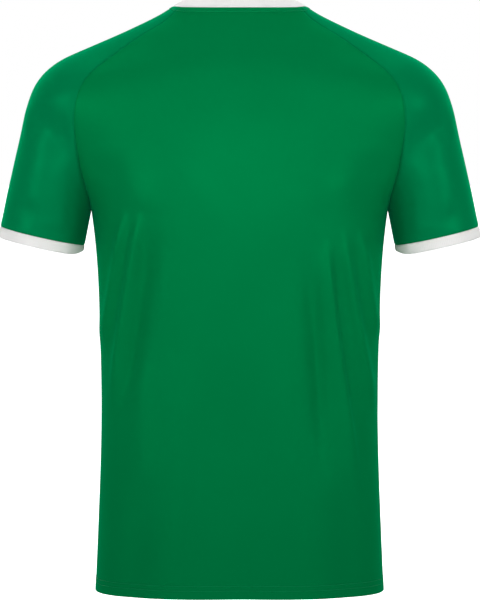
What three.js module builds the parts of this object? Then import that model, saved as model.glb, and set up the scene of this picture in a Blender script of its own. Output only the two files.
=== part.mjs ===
// Football jersey: a short-sleeved knitted shirt with raglan sleeves, a ribbed round collar and ribbed cuffs,
// filled out as if worn, hollow, with neck, cuffs and hem open. Seven cut pieces, each a thin closed wall,
// stand a hair apart along the seams: back, front, two sleeves, collar and two cuffs.
// Millimetres. X runs across the chest with the wearer's left at +X, the front faces -Y and the back +Y,
// and Z points up from the height where the neckline rests on the shoulders.
import * as THREE from "three";

// Cloth and seams
const CLOTH = 1.4;
const RIB = 2.2;
const SEAM_GAP = 0.3;

// Driving sizes
const HEM_BELOW = 721;
const HEM_TURN = 18;
const HEM_RISE = 2.6;
const HEM_RISE_EASE = 150;
const FRONT_NECK_DROP = 74;
const BACK_NECK_DROP = 0.9;
const CUFF_HEIGHT = 13;
const CUFF_SHORTER_INSIDE = 0.45;
const CUFF_CORNER_POWER = 8;
const COLLAR_BACK = { rise: 15, lean: 7 };
const COLLAR_SIDE = { rise: 8.5, lean: 15.5 };
const COLLAR_FRONT = { rise: 12, lean: 11 };

// How closely the walls are divided
const STATIONS = [0, 1, 2, 3, 4, 5, 6, 7, 8, 9, 10, 11, 12, 12.6, 13.15, 13.55, 13.83, 14];
const ROWS_BELOW_UNDERARM = 18;
const PANEL_COLUMNS = 34;
const SLEEVE_COLUMNS = 24;
const SLEEVE_ROWS_BELOW = 4;
const CROWDING_BELOW_UNDERARM = 1.3;
const RIB_ROWS = 2;
const SEAM_STEP = 0.5;
const STRONGEST_CROWDING = 9;

// Torso sections, by the distance below the neckline: depth to back and front, and half width at the side
// seams, which the sleeves take over above the underarm.
const TORSO = [
  { below: 0, halfWidth: 210, back: 62, front: 59 },
  { below: 20, halfWidth: 209, back: 74, front: 67 },
  { below: 45, halfWidth: 208, back: 86, front: 77 },
  { below: 85, halfWidth: 206, back: 100, front: 91 },
  { below: 120, halfWidth: 202, back: 109, front: 105 },
  { below: 160, halfWidth: 197, back: 116, front: 118 },
  { below: 205, halfWidth: 190, back: 120.5, front: 125.5 },
  { below: 250, halfWidth: 183, back: 122, front: 128 },
  { below: 296, halfWidth: 177.5, back: 120.5, front: 127 },
  { below: 388, halfWidth: 172.9, back: 114.5, front: 122 },
  { below: 499, halfWidth: 171.1, back: 110, front: 117 },
  { below: 604, halfWidth: 173.9, back: 113, front: 117 },
  { below: 721, halfWidth: 179, back: 118, front: 119 },
];

// Sleeve sections from the neck to the underarm, seen from behind: the top line along the shoulder and the
// outer arm, the raglan seam on the back, how far inward and down the seam sits on the front, how far the
// section wraps round between them (1 is a quarter turn, 2 the inside of the arm) and its half depth.
const SLEEVE = [
  { topX: 81.4, topZ: 2.2, seamX: 73.5, seamZ: 1.4, inward: 1.2, drop: 8.4, wrap: 0.18, depth: 55.8 },
  { topX: 98.6, topZ: -9.1, seamX: 90.6, seamZ: -15.4, inward: 3.4, drop: 10.6, wrap: 0.197, depth: 58 },
  { topX: 127, topZ: -23.1, seamX: 117.5, seamZ: -32, inward: 6, drop: 11.8, wrap: 0.22, depth: 62 },
  { topX: 159.1, topZ: -37.7, seamX: 147.8, seamZ: -52.8, inward: 8, drop: 12, wrap: 0.294, depth: 66 },
  { topX: 192, topZ: -51.9, seamX: 170.7, seamZ: -69.8, inward: 10, drop: 12, wrap: 0.434, depth: 70 },
  { topX: 217, topZ: -63, seamX: 183.7, seamZ: -81.9, inward: 11, drop: 11, wrap: 0.597, depth: 73 },
  { topX: 234.3, topZ: -74.8, seamX: 193.2, seamZ: -95.2, inward: 12, drop: 10, wrap: 0.73, depth: 75 },
  { topX: 246, topZ: -87.1, seamX: 198.6, seamZ: -109.2, inward: 12.5, drop: 8, wrap: 0.848, depth: 76 },
  { topX: 254, topZ: -100.1, seamX: 201, seamZ: -124.4, inward: 12.5, drop: 6.5, wrap: 0.965, depth: 75.5 },
  { topX: 259.5, topZ: -113.8, seamX: 201.6, seamZ: -141.4, inward: 12, drop: 5, wrap: 1.09, depth: 73 },
  { topX: 264.7, topZ: -131, seamX: 200, seamZ: -159.8, inward: 10.5, drop: 3.5, wrap: 1.235, depth: 68.8 },
  { topX: 269.8, topZ: -154.3, seamX: 196.9, seamZ: -182, inward: 8, drop: 2, wrap: 1.4, depth: 64 },
  { topX: 275.8, topZ: -180.4, seamX: 192.1, seamZ: -206.8, inward: 5, drop: 1, wrap: 1.605, depth: 60.5 },
  { topX: 281.1, topZ: -204.3, seamX: 186.5, seamZ: -228.2, inward: 1.8, drop: 0.3, wrap: 1.82, depth: 58.5 },
  { topX: 286.4, topZ: -226.8, seamX: 183, seamZ: -250, inward: 0, drop: 0, wrap: 2, depth: 57.5 },
];
const SLEEVE_END = { topX: 295.5, topZ: -269, innerX: 191.4, innerZ: -292.6, depth: 56.5 };

// How a torso section goes from a gentle curve between the raglan seams to the closed oval below the underarm
const SHOULDER_POWER = 2.2;
const OVAL_POWER = 2.4;
const OVAL_STARTS_AT_ROW = 7;
const NECK_OVAL = { back: 1, front: 0.35, goneAtRow: 4 };

// Soft folds: two ends of each crease seen square on, its height over the cloth and its half width.
const BACK_FOLDS = [
  { fromX: 141, fromZ: -262, toX: 166, toZ: -425, height: 2.4, halfWidth: 11 },
  { fromX: 118, fromZ: -262, toX: 152, toZ: -468, height: 2.6, halfWidth: 11 },
  { fromX: -106, fromZ: -350, toX: -130, toZ: -558, height: 2.6, halfWidth: 13 },
  { fromX: -128, fromZ: -352, toX: -163, toZ: -472, height: 2.4, halfWidth: 11 },
];
const FRONT_FOLDS = [
  { fromX: 132, fromZ: -268, toX: 160, toZ: -440, height: 2.6, halfWidth: 12 },
  { fromX: 96, fromZ: -300, toX: 118, toZ: -520, height: 2.2, halfWidth: 14 },
  { fromX: -128, fromZ: -272, toX: -158, toZ: -455, height: 2.6, halfWidth: 12 },
  { fromX: -100, fromZ: -320, toX: -112, toZ: -540, height: 2.2, halfWidth: 14 },
];
const FOLD_END_FADE = 0.3;
const FOLD_EDGE_FADE = 3;

const COLORS = { cloth: 0x017a48, rib: 0xe6e7e5 };

const UNDERARM_ROW = SLEEVE.length - 1;
const ROWS_TO_UNDERARM = STATIONS.length - 1;
const LEAST_MITRE = 0.5;
const UP = new THREE.Vector3(0, 0, 1);
const NECK_CENTRE_ABOVE = new THREE.Vector3(0, 8, 70);
const seenFromBehind = (x, z) => new THREE.Vector3(x, 0, z);
const ARM_OUTER = [
  seenFromBehind(SLEEVE.at(-1).topX, SLEEVE.at(-1).topZ),
  seenFromBehind(SLEEVE_END.topX, SLEEVE_END.topZ),
];
const ARM_INNER = [
  seenFromBehind(SLEEVE.at(-1).seamX, SLEEVE.at(-1).seamZ),
  seenFromBehind(SLEEVE_END.innerX, SLEEVE_END.innerZ),
];
const ARM_DOWN = ARM_OUTER[1].clone().sub(ARM_OUTER[0]).normalize();

const mix = (a, b, share) => a + (b - a) * share;

function smoothstep(share) {
  const t = Math.min(1, Math.max(0, share));
  return t * t * (3 - 2 * t);
}

// Natural cubic spline through the points (xs, ys).
function spline(xs, ys) {
  const count = xs.length;
  const bend = new Array(count).fill(0);
  const load = new Array(count).fill(0);
  for (let i = 1; i < count - 1; i++) {
    const span = xs[i + 1] - xs[i - 1];
    const share = (xs[i] - xs[i - 1]) / span;
    const pivot = share * bend[i - 1] + 2;
    const turn = (ys[i + 1] - ys[i]) / (xs[i + 1] - xs[i]) - (ys[i] - ys[i - 1]) / (xs[i] - xs[i - 1]);
    bend[i] = (share - 1) / pivot;
    load[i] = ((6 * turn) / span - share * load[i - 1]) / pivot;
  }
  bend[count - 1] = 0;
  for (let i = count - 2; i >= 0; i--) bend[i] = bend[i] * bend[i + 1] + load[i];
  return (x) => {
    let i = 0;
    while (i < count - 2 && x > xs[i + 1]) i++;
    const width = xs[i + 1] - xs[i];
    const b = (x - xs[i]) / width;
    const a = 1 - b;
    const curve = (a * a * a - a) * bend[i] + (b * b * b - b) * bend[i + 1];
    return a * ys[i] + b * ys[i + 1] + (curve * width * width) / 6;
  };
}

// Splines through every column of a table, against one key column or the row number.
function splines(table, key) {
  const xs = table.map((row, i) => (key ? row[key] : i));
  const made = {};
  for (const column of Object.keys(table[0])) made[column] = spline(xs, table.map((row) => row[column]));
  return made;
}

const torsoAt = splines(TORSO, "below");
const sleeveAt = splines(SLEEVE);

// Column positions from 0 to 1 along a section that ends at a share of its full turn. They stay where the
// full section has them and crowd only towards the seam, where they end SEAM_STEP of an average step apart.
function columnShares(count, end) {
  const power = Math.min(STRONGEST_CROWDING, (1 - SEAM_STEP * end) / Math.max(1 - end, 1e-6));
  return Array.from({ length: count + 1 }, (_, i) => i / count - (1 - end) * (i / count) ** power);
}

// Half of a sleeve section, from the top line to the seam: an elliptical arc in the plane through both.
function sleeveArc(top, seam, halfWidth, halfDepth, side) {
  const reach = Math.hypot(seam.x - top.x, seam.z - top.z);
  const end = Math.acos(Math.max(-1, 1 - reach / halfWidth));
  const closed = end > Math.PI - 1e-4;
  const points = columnShares(SLEEVE_COLUMNS / 2, end / Math.PI).map((turn) => {
    const share = (halfWidth * (1 - Math.cos(Math.PI * turn))) / reach;
    const y = side * halfDepth * Math.sin(Math.PI * turn);
    return new THREE.Vector3(mix(top.x, seam.x, share), y, mix(top.z, seam.z, share));
  });
  if (closed) points.at(-1).set(seam.x, 0, seam.z);
  return points;
}

function sleeveRing(top, back, front, halfWidth, halfDepth) {
  return {
    back: sleeveArc(top, back, halfWidth, halfDepth, 1),
    front: sleeveArc(top, front, halfWidth, halfDepth, -1),
  };
}

// The two halves of the sleeve's section at a row of the table: row 0 at the neck, the last at the underarm.
function sleeveSection(row) {
  const top = seenFromBehind(sleeveAt.topX(row), sleeveAt.topZ(row));
  const back = seenFromBehind(sleeveAt.seamX(row), sleeveAt.seamZ(row));
  const front = seenFromBehind(back.x - sleeveAt.inward(row), back.z - sleeveAt.drop(row));
  return sleeveRing(top, back, front, back.distanceTo(top) / sleeveAt.wrap(row), sleeveAt.depth(row));
}

// The closed section of the arm below the underarm, at a share of the way to the cuff.
function armSection(share) {
  const top = ARM_OUTER[0].clone().lerp(ARM_OUTER[1], share);
  const inner = ARM_INNER[0].clone().lerp(ARM_INNER[1], share);
  const halfDepth = mix(SLEEVE.at(-1).depth, SLEEVE_END.depth, share);
  return sleeveRing(top, inner, inner, top.distanceTo(inner) / 2, halfDepth);
}

const sleeveRowPoints = (section) => [...[...section.back].reverse(), ...section.front.slice(1)];

// One row across the back or front, from the wearer's left to right, through the seam points at its ends.
function torsoRow(end, side, closed, middleZ) {
  const depthAt = (z) => (side > 0 ? torsoAt.back(-z) : torsoAt.front(-z));
  const endDepth = depthAt(end.z);
  const width = end.x / (1 - (end.y / endDepth) ** OVAL_POWER) ** (1 / OVAL_POWER);
  const half = columnShares(PANEL_COLUMNS / 2, Math.asin(end.x / width) / (Math.PI / 2));
  const turns = [...[...half].reverse(), ...half.slice(1).map((turn) => -turn)];
  return turns.map((turn) => {
    const x = width * Math.sin((Math.PI / 2) * turn);
    const across = Math.min(1, Math.abs(x) / end.x);
    const z = end.z + (middleZ - end.z) * Math.sqrt(1 - across ** 2);
    const depth = depthAt(z);
    const gentle = depth - (depth - end.y) * across ** SHOULDER_POWER;
    const reach = (1 - (end.y / depth) ** OVAL_POWER) ** (1 / OVAL_POWER);
    const oval = depth * Math.max(0, 1 - (across * reach) ** OVAL_POWER) ** (1 / OVAL_POWER);
    return new THREE.Vector3(x, side * mix(gentle, oval, closed), z);
  });
}

// A fold's height over the cloth at a point seen square on.
function foldHeight(folds, x, z) {
  let height = 0;
  for (const fold of folds) {
    const along = { x: fold.toX - fold.fromX, z: fold.toZ - fold.fromZ };
    const length = Math.hypot(along.x, along.z);
    const share = ((x - fold.fromX) * along.x + (z - fold.fromZ) * along.z) / length ** 2;
    const off = ((x - fold.fromX) * along.z - (z - fold.fromZ) * along.x) / length;
    const fade = smoothstep(share / FOLD_END_FADE) * smoothstep((1 - share) / FOLD_END_FADE);
    height += fold.height * fade * Math.exp(-((off / fold.halfWidth) ** 2));
  }
  return height;
}

// The outer points of the back (side 1) or the front (side -1), row by row from the neckline to the hem.
function torsoRows(side, folds) {
  const rows = [];
  const half = side > 0 ? "back" : "front";
  const neck = sleeveSection(0)[half].at(-1);
  const underarm = sleeveSection(UNDERARM_ROW)[half].at(-1);
  for (const row of STATIONS) {
    const seam = sleeveSection(row)[half].at(-1);
    const end = { x: seam.x, y: Math.abs(seam.y), z: seam.z };
    const neckOval = NECK_OVAL[half] * smoothstep(1 - row / NECK_OVAL.goneAtRow);
    const closed = neckOval + smoothstep((row - OVAL_STARTS_AT_ROW) / (UNDERARM_ROW - OVAL_STARTS_AT_ROW));
    const down = (seam.z - neck.z) / (underarm.z - neck.z);
    const middleZ = seam.z - (side > 0 ? BACK_NECK_DROP : FRONT_NECK_DROP) * (1 - down);
    const points = torsoRow(end, side, closed, middleZ);
    points[0].copy(seam);
    points[PANEL_COLUMNS].set(-seam.x, seam.y, seam.z);
    rows.push(points);
  }
  const levels = [];
  const hemFold = -HEM_BELOW + HEM_TURN;
  for (let k = 1; k <= ROWS_BELOW_UNDERARM; k++) {
    levels.push(mix(underarm.z, hemFold, (k / ROWS_BELOW_UNDERARM) ** CROWDING_BELOW_UNDERARM));
  }
  levels.push(hemFold - CLOTH, -HEM_BELOW);
  for (const z of levels) {
    const rise = HEM_RISE * smoothstep((hemFold + HEM_RISE_EASE - z) / HEM_RISE_EASE);
    rows.push(torsoRow({ x: torsoAt.halfWidth(-z), y: 0, z }, side, 1, z + rise));
  }
  raise(rows, folds, side);
  return rows;
}

// Lifts the points of a torso panel by its folds, fading out towards the panel's side edges.
function raise(rows, folds, side) {
  const flat = rows.map((row) => row.map((point) => point.clone()));
  for (let r = 1; r < rows.length - 1; r++) {
    for (let c = 1; c < PANEL_COLUMNS; c++) {
      const across = flat[r][c + 1].clone().sub(flat[r][c - 1]);
      const down = flat[r + 1][c].clone().sub(flat[r - 1][c]);
      const normal = down.cross(across).normalize().multiplyScalar(side);
      const fade = smoothstep(Math.min(c, PANEL_COLUMNS - c) / FOLD_EDGE_FADE);
      rows[r][c].addScaledVector(normal, fade * foldHeight(folds, flat[r][c].x, flat[r][c].z));
    }
  }
}

// The outer points of the wearer's left sleeve, from the neck to the cuff seam.
function sleeveRows() {
  const rows = STATIONS.map((row) => sleeveRowPoints(sleeveSection(row)));
  for (let k = 1; k <= SLEEVE_ROWS_BELOW; k++) {
    rows.push(sleeveRowPoints(armSection((k / SLEEVE_ROWS_BELOW) ** CROWDING_BELOW_UNDERARM)));
  }
  return rows;
}

// The cuff carries the sleeve's end section on down the arm, and is shorter at the inside of the arm, where it
// is drawn up into the underarm seam.
function cuffRows() {
  const seam = sleeveRowPoints(armSection(1));
  const middle = SLEEVE_COLUMNS / 2;
  const heights = seam.map((_, c) => {
    const inside = Math.max(0, -Math.cos((Math.PI * (c - middle)) / middle)) ** CUFF_CORNER_POWER;
    return CUFF_HEIGHT * (1 - CUFF_SHORTER_INSIDE * inside);
  });
  const rows = [];
  for (let k = 0; k <= RIB_ROWS; k++) {
    rows.push(seam.map((point, c) => point.clone().addScaledVector(ARM_DOWN, (heights[c] * k) / RIB_ROWS)));
  }
  return rows;
}

// The collar band stands on the neckline, every second point of it, and leans in towards the neck.
function collarRows(neckline) {
  const seam = neckline.filter((point, i) => i % 2 === 0);
  const rows = [];
  for (let k = 0; k <= RIB_ROWS; k++) {
    rows.push(
      seam.map((point) => {
        const inward = new THREE.Vector3(-point.x, -point.y, 0).normalize();
        const side = Math.abs(inward.x) ** 1.5;
        const end = point.y > 0 ? COLLAR_BACK : COLLAR_FRONT;
        const share = k / RIB_ROWS;
        const lean = mix(end.lean, COLLAR_SIDE.lean, side) * share;
        const rise = mix(end.rise, COLLAR_SIDE.rise, side) * share;
        return point.clone().addScaledVector(inward, lean).addScaledVector(UP, rise);
      }),
    );
  }
  return rows;
}

const mirrorPoint = (point) => new THREE.Vector3(-point.x, point.y, point.z);
const mirrored = (rows) => rows.map((row) => row.map(mirrorPoint));

// A cut piece: its outer points by row and column, the row from which its two long edges are joined into a
// tube, its wall, and which way round its faces go.
class Piece {
  constructor(name, cut, rows, { tubeFrom = Infinity, wall, turned, color }) {
    Object.assign(this, { name, cut, rows, tubeFrom, wall, turned, color });
    this.columns = rows[0].length - 1;
    this.shifts = rows.map((row) => row.map(() => new THREE.Vector3()));
    this.ownNormals = this.faceNormals();
    this.normals = this.ownNormals.map((row) => row.map((normal) => normal.clone()));
  }

  index(r, c) {
    return r * (this.columns + 1) + (r >= this.tubeFrom && c === this.columns ? 0 : c);
  }

  // Triangles of the outer face, by vertex index
  triangles() {
    const list = [];
    for (let r = 0; r < this.rows.length - 1; r++) {
      for (let c = 0; c < this.columns; c++) {
        const [a, b] = [this.index(r, c), this.index(r + 1, c)];
        const [d, e] = [this.index(r, c + 1), this.index(r + 1, c + 1)];
        for (const face of [[a, b, d], [d, b, e]]) list.push(this.turned ? face.reverse() : face);
      }
    }
    return list;
  }

  faceNormals() {
    const points = this.rows.flat();
    const sums = points.map(() => new THREE.Vector3());
    for (const face of this.triangles()) {
      const [a, b, c] = face.map((i) => points[i]);
      const normal = b.clone().sub(a).cross(c.clone().sub(a));
      for (const i of face) sums[i].add(normal);
    }
    return this.rows.map((row, r) => row.map((_, c) => sums[this.index(r, c)].clone().normalize()));
  }

  // Opens half the seam gap along an edge, away from the neighbour that lies in the direction towards(point).
  openSeam(edge, towards) {
    edge.forEach(([r, c], i) => {
      const [pr, pc] = edge[Math.max(0, i - 1)];
      const [nr, nc] = edge[Math.min(edge.length - 1, i + 1)];
      const tangent = this.rows[nr][nc].clone().sub(this.rows[pr][pc]).normalize();
      const away = towards(this.rows[r][c], r).clone().negate();
      away.addScaledVector(this.normals[r][c], -away.dot(this.normals[r][c]));
      if (tangent.lengthSq() > 0) away.addScaledVector(tangent, -away.dot(tangent));
      this.shifts[r][c].addScaledVector(away.normalize(), SEAM_GAP / 2);
    });
  }

  // Way through the wall: mitred with the neighbour, or straight through where both walls run side by side.
  through(r, c) {
    const own = this.ownNormals[r][c];
    const facing = own.dot(this.normals[r][c]);
    const mitred = this.normals[r][c].clone().divideScalar(Math.max(facing, LEAST_MITRE / 2));
    return own.clone().lerp(mitred, smoothstep(facing / LEAST_MITRE));
  }

  mesh() {
    const shifts = this.shifts.flat();
    const outer = this.rows.flat().map((point, i) => point.clone().add(shifts[i]));
    const inner = outer.map((point, i) => {
      const row = Math.floor(i / (this.columns + 1));
      return point.clone().addScaledVector(this.through(row, i % (this.columns + 1)), -this.wall(row));
    });
    const faces = this.triangles();
    const count = outer.length;
    const all = faces.concat(faces.map(([a, b, c]) => [a + count, c + count, b + count]));
    const edges = new Set(faces.flatMap(([a, b, c]) => [`${a} ${b}`, `${b} ${c}`, `${c} ${a}`]));
    for (const edge of edges) {
      const [a, b] = edge.split(" ").map(Number);
      if (!edges.has(`${b} ${a}`)) all.push([b, a, a + count], [b, a + count, b + count]);
    }
    const corners = [...outer, ...inner];
    const positions = all.flat().flatMap((i) => corners[i].toArray());
    const geometry = new THREE.BufferGeometry();
    geometry.setAttribute("position", new THREE.Float32BufferAttribute(positions, 3));
    geometry.computeVertexNormals();
    const material = new THREE.MeshStandardMaterial({ color: this.color, roughness: 0.75, metalness: 0 });
    const mesh = new THREE.Mesh(geometry, material);
    mesh.name = this.name;
    return mesh;
  }
}

// Where pieces meet, each takes the same normal, halfway between those of the cuts that meet there.
function shareNormals(pieces) {
  const key = (point) => point.toArray().map((value) => Math.round(value * 100)).join(" ");
  const meeting = new Map();
  for (const piece of pieces) {
    piece.rows.forEach((row, r) =>
      row.forEach((point, c) => {
        const cuts = meeting.get(key(point)) ?? meeting.set(key(point), {}).get(key(point));
        cuts[piece.cut] = (cuts[piece.cut] ?? new THREE.Vector3()).add(piece.normals[r][c]);
      }),
    );
  }
  for (const piece of pieces) {
    piece.rows.forEach((row, r) =>
      row.forEach((point, c) => {
        const sum = new THREE.Vector3();
        for (const normal of Object.values(meeting.get(key(point)))) sum.add(normal.clone().normalize());
        piece.normals[r][c].copy(sum.normalize());
      }),
    );
  }
}

const panelWall = (row) => (row > ROWS_TO_UNDERARM + ROWS_BELOW_UNDERARM ? 2 * CLOTH : CLOTH);
const clothWall = () => CLOTH;
const ribWall = () => RIB;

const backRows = torsoRows(1, BACK_FOLDS);
const frontRows = torsoRows(-1, FRONT_FOLDS);
const leftRows = sleeveRows();
const rightRows = mirrored(leftRows);

// The neckline, once round: across the back, over the right shoulder, across the front, over the left.
const neckline = [
  ...backRows[0],
  ...rightRows[0].slice(1),
  ...[...frontRows[0]].reverse().slice(1),
  ...[...leftRows[0]].reverse().slice(1),
];

const sleeve = { wall: clothWall, color: COLORS.cloth, tubeFrom: ROWS_TO_UNDERARM };
const torso = { wall: panelWall, color: COLORS.cloth };
const rib = { wall: ribWall, color: COLORS.rib, tubeFrom: 0 };
const back = new Piece("back_panel", "torso", backRows, { ...torso, turned: false });
const front = new Piece("front_panel", "torso", frontRows, { ...torso, turned: true });
const left = new Piece("sleeve_left", "sleeve", leftRows, { ...sleeve, turned: true });
const right = new Piece("sleeve_right", "sleeve", rightRows, { ...sleeve, turned: false });
const collar = new Piece("collar", "rib", collarRows(neckline), { ...rib, turned: true });
const cuffLeft = new Piece("cuff_left", "rib", cuffRows(), { ...rib, turned: true });
const cuffRight = new Piece("cuff_right", "rib", mirrored(cuffRows()), { ...rib, turned: false });
const pieces = [back, front, left, right, collar, cuffLeft, cuffRight];
shareNormals(pieces);

// Directions across each kind of seam
const sleeveWay = (point, row) => {
  const at = STATIONS[Math.min(row, ROWS_TO_UNDERARM)];
  const outward = sleeveAt.topX(at) - sleeveAt.seamX(at);
  return new THREE.Vector3(Math.sign(point.x) * outward, 0, sleeveAt.topZ(at) - sleeveAt.seamZ(at));
};
const against = (way) => (point, row) => way(point, row).negate();
const neckWay = (point) => NECK_CENTRE_ABOVE.clone().sub(point);
const armWay = (point) => new THREE.Vector3(Math.sign(point.x) * ARM_DOWN.x, 0, ARM_DOWN.z);
const frontWay = () => new THREE.Vector3(0, -1, 0);

const rowEdge = (piece, r) => piece.rows[r].map((_, c) => [r, c]);
const columnEdge = (c, from, to) => Array.from({ length: to - from + 1 }, (_, i) => [from + i, c]);

for (const [half, way] of [[back, frontWay], [front, against(frontWay)]]) {
  half.openSeam(rowEdge(half, 0), neckWay);
  for (const c of [0, PANEL_COLUMNS]) {
    half.openSeam(columnEdge(c, 0, ROWS_TO_UNDERARM), sleeveWay);
    half.openSeam(columnEdge(c, ROWS_TO_UNDERARM, half.rows.length - 1), way);
  }
}
for (const arm of [left, right]) {
  arm.openSeam(rowEdge(arm, 0), neckWay);
  arm.openSeam(columnEdge(0, 0, ROWS_TO_UNDERARM), against(sleeveWay));
  arm.openSeam(columnEdge(SLEEVE_COLUMNS, 0, ROWS_TO_UNDERARM), against(sleeveWay));
  arm.openSeam(rowEdge(arm, arm.rows.length - 1), armWay);
}
collar.openSeam(rowEdge(collar, 0), against(neckWay));
for (const cuff of [cuffLeft, cuffRight]) cuff.openSeam(rowEdge(cuff, 0), against(armWay));

const jersey = new THREE.Group();
for (const piece of pieces) jersey.add(piece.mesh());

export default jersey;
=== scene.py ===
"""Football jersey seen from behind, filled out with no wearer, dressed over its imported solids.

Every cut piece is a thin knitted shell on the form of its solid, worked out from the same sizes: back, front,
two raglan sleeves, collar and two cuffs, with the sewing that joins them. Sizes in the tables are millimetres,
seen square on: X runs to the wearer's left, +Y is the back of the shirt and Z is up from the neckline.
"""

import logging
import math
from dataclasses import dataclass, field
from enum import Enum
from typing import Sequence

import bpy
import numpy as np
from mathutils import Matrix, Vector


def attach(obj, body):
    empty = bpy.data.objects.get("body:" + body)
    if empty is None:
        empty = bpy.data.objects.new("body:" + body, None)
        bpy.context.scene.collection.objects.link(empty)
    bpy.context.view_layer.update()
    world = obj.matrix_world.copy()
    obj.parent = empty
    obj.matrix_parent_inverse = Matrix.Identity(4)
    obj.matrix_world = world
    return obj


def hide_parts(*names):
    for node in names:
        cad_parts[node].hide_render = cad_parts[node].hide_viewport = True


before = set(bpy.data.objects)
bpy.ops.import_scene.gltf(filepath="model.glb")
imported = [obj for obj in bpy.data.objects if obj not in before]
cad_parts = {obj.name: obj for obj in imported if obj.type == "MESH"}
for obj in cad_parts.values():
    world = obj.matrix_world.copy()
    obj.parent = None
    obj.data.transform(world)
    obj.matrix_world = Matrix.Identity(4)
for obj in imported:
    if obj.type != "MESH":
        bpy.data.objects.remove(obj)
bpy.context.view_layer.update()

LOG = logging.getLogger("jersey")
MM = 0.001

# Cloth and seams, in millimetres
CLOTH = 1.4
RIB = 2.2
SEAM_GAP = 0.3
SHARED_NORMAL_REACH = 4.0
THREAD_LIFT = 0.1

# Driving sizes, in millimetres
HEM_BELOW = 721.0
HEM_TURN = 18.0
HEM_RISE = 2.6
HEM_RISE_EASE = 150.0
FRONT_NECK_DROP = 74.0
BACK_NECK_DROP = 0.9
FRONT_NECK_OVAL = 0.35
BACK_NECK_OVAL = 1.0
NECK_POINTS = 300
CUFF_HEIGHT = 13.0
CUFF_SHORTER_INSIDE = 0.45
CUFF_CORNER_POWER = 8
OVAL_POWER = 2.4
SHOULDER_POWER = 2.2
OVAL_STARTS_AT_ROW = 7
UNDERARM_ROW = 14
NECK_OVAL_GONE_AT_ROW = 4
STRONGEST_CROWDING = 9.0
SEAM_STEP = 0.5
CROWDING_BELOW_UNDERARM = 1.3
NEAR_SEAM = (0.62, 0.38, 0.2)

# Rows that a hem or neckline effect doesn't reach
FAR_FROM_HEM = 999.0
FAR_FROM_NECK = 99.0

SHARP_EDGE = math.radians(48)


class Side(Enum):
    """The half of the shirt that a piece or an arc belongs to, as the sign of its Y."""

    BACK = 1
    FRONT = -1


class Edge(Enum):
    """An edge of a cut piece, as its rows run from the neck down and its columns across."""

    TOP = "top"
    BOTTOM = "bottom"
    FIRST = "first"
    LAST = "last"


def mix(a: float | np.ndarray, b: float | np.ndarray, share: float | np.ndarray) -> float | np.ndarray:
    """Returns the value a share of the way from a to b."""
    return a + (b - a) * share


def smoothstep(share: float | np.ndarray) -> float | np.ndarray:
    """Returns an eased share, level at 0 and 1."""
    t = np.clip(share, 0, 1)
    return t * t * (3 - 2 * t)


def unit(vectors: np.ndarray) -> np.ndarray:
    """Returns the vectors of the last axis at length 1."""
    return vectors / np.maximum(np.linalg.norm(vectors, axis=-1, keepdims=True), 1e-12)


def run_of(line: np.ndarray) -> np.ndarray:
    """Returns how far along a line each of its points lies."""
    return np.concatenate([[0], np.cumsum(np.linalg.norm(np.diff(line, axis=0), axis=1))])


def points_at(line: np.ndarray, run: np.ndarray, at: float | np.ndarray) -> np.ndarray:
    """Returns the points of a line at some lengths along it, where run holds its own points' lengths."""
    return np.stack([np.interp(at, run, line[:, k]) for k in range(3)], axis=-1)


class Spline:
    """Smooth curve through one column of a table."""

    def __init__(self, knots: Sequence[float], values: Sequence[float]) -> None:
        """Finds the bend at each knot, with none at the two ends.

        Args:
            knots: rising positions.
            values: the column's value at each.
        """
        self.knots = np.array(knots, float)
        self.values = np.array(values, float)
        steps = np.diff(self.knots)
        slopes = np.diff(self.values) / steps
        count = len(self.knots)
        matrix, load = np.eye(count), np.zeros(count)
        for i in range(1, count - 1):
            matrix[i, i - 1 : i + 2] = steps[i - 1], 2 * (steps[i - 1] + steps[i]), steps[i]
            load[i] = 6 * (slopes[i] - slopes[i - 1])
        self.bends = np.linalg.solve(matrix, load)

    def __call__(self, at: float | np.ndarray) -> float | np.ndarray:
        """Reads the curve.

        Args:
            at: a position, or an array of them.

        Returns:
            The value at each.
        """
        i = np.clip(np.searchsorted(self.knots, at, side="left") - 1, 0, len(self.knots) - 2)
        width = self.knots[i + 1] - self.knots[i]
        b = (at - self.knots[i]) / width
        a = 1 - b
        curve = (a**3 - a) * self.bends[i] + (b**3 - b) * self.bends[i + 1]
        return a * self.values[i] + b * self.values[i + 1] + curve * width**2 / 6


@dataclass(frozen=True)
class TorsoSection:
    """One level of the torso: how far below the neckline, half width at the side seams, depth to each half."""

    below: float
    half_width: float
    back: float
    front: float


@dataclass(frozen=True)
class SleeveSection:
    """One section of the sleeve: its top line, the back raglan seam, the front seam's offset, wrap and depth."""

    top_x: float
    top_z: float
    seam_x: float
    seam_z: float
    inward: float
    drop: float
    wrap: float
    depth: float


TORSO = [
    TorsoSection(*row)
    for row in (
        (0, 210, 62, 59),
        (20, 209, 74, 67),
        (45, 208, 86, 77),
        (85, 206, 100, 91),
        (120, 202, 109, 105),
        (160, 197, 116, 118),
        (205, 190, 120.5, 125.5),
        (250, 183, 122, 128),
        (296, 177.5, 120.5, 127),
        (388, 172.9, 114.5, 122),
        (499, 171.1, 110, 117),
        (604, 173.9, 113, 117),
        (721, 179, 118, 119),
    )
]

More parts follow.
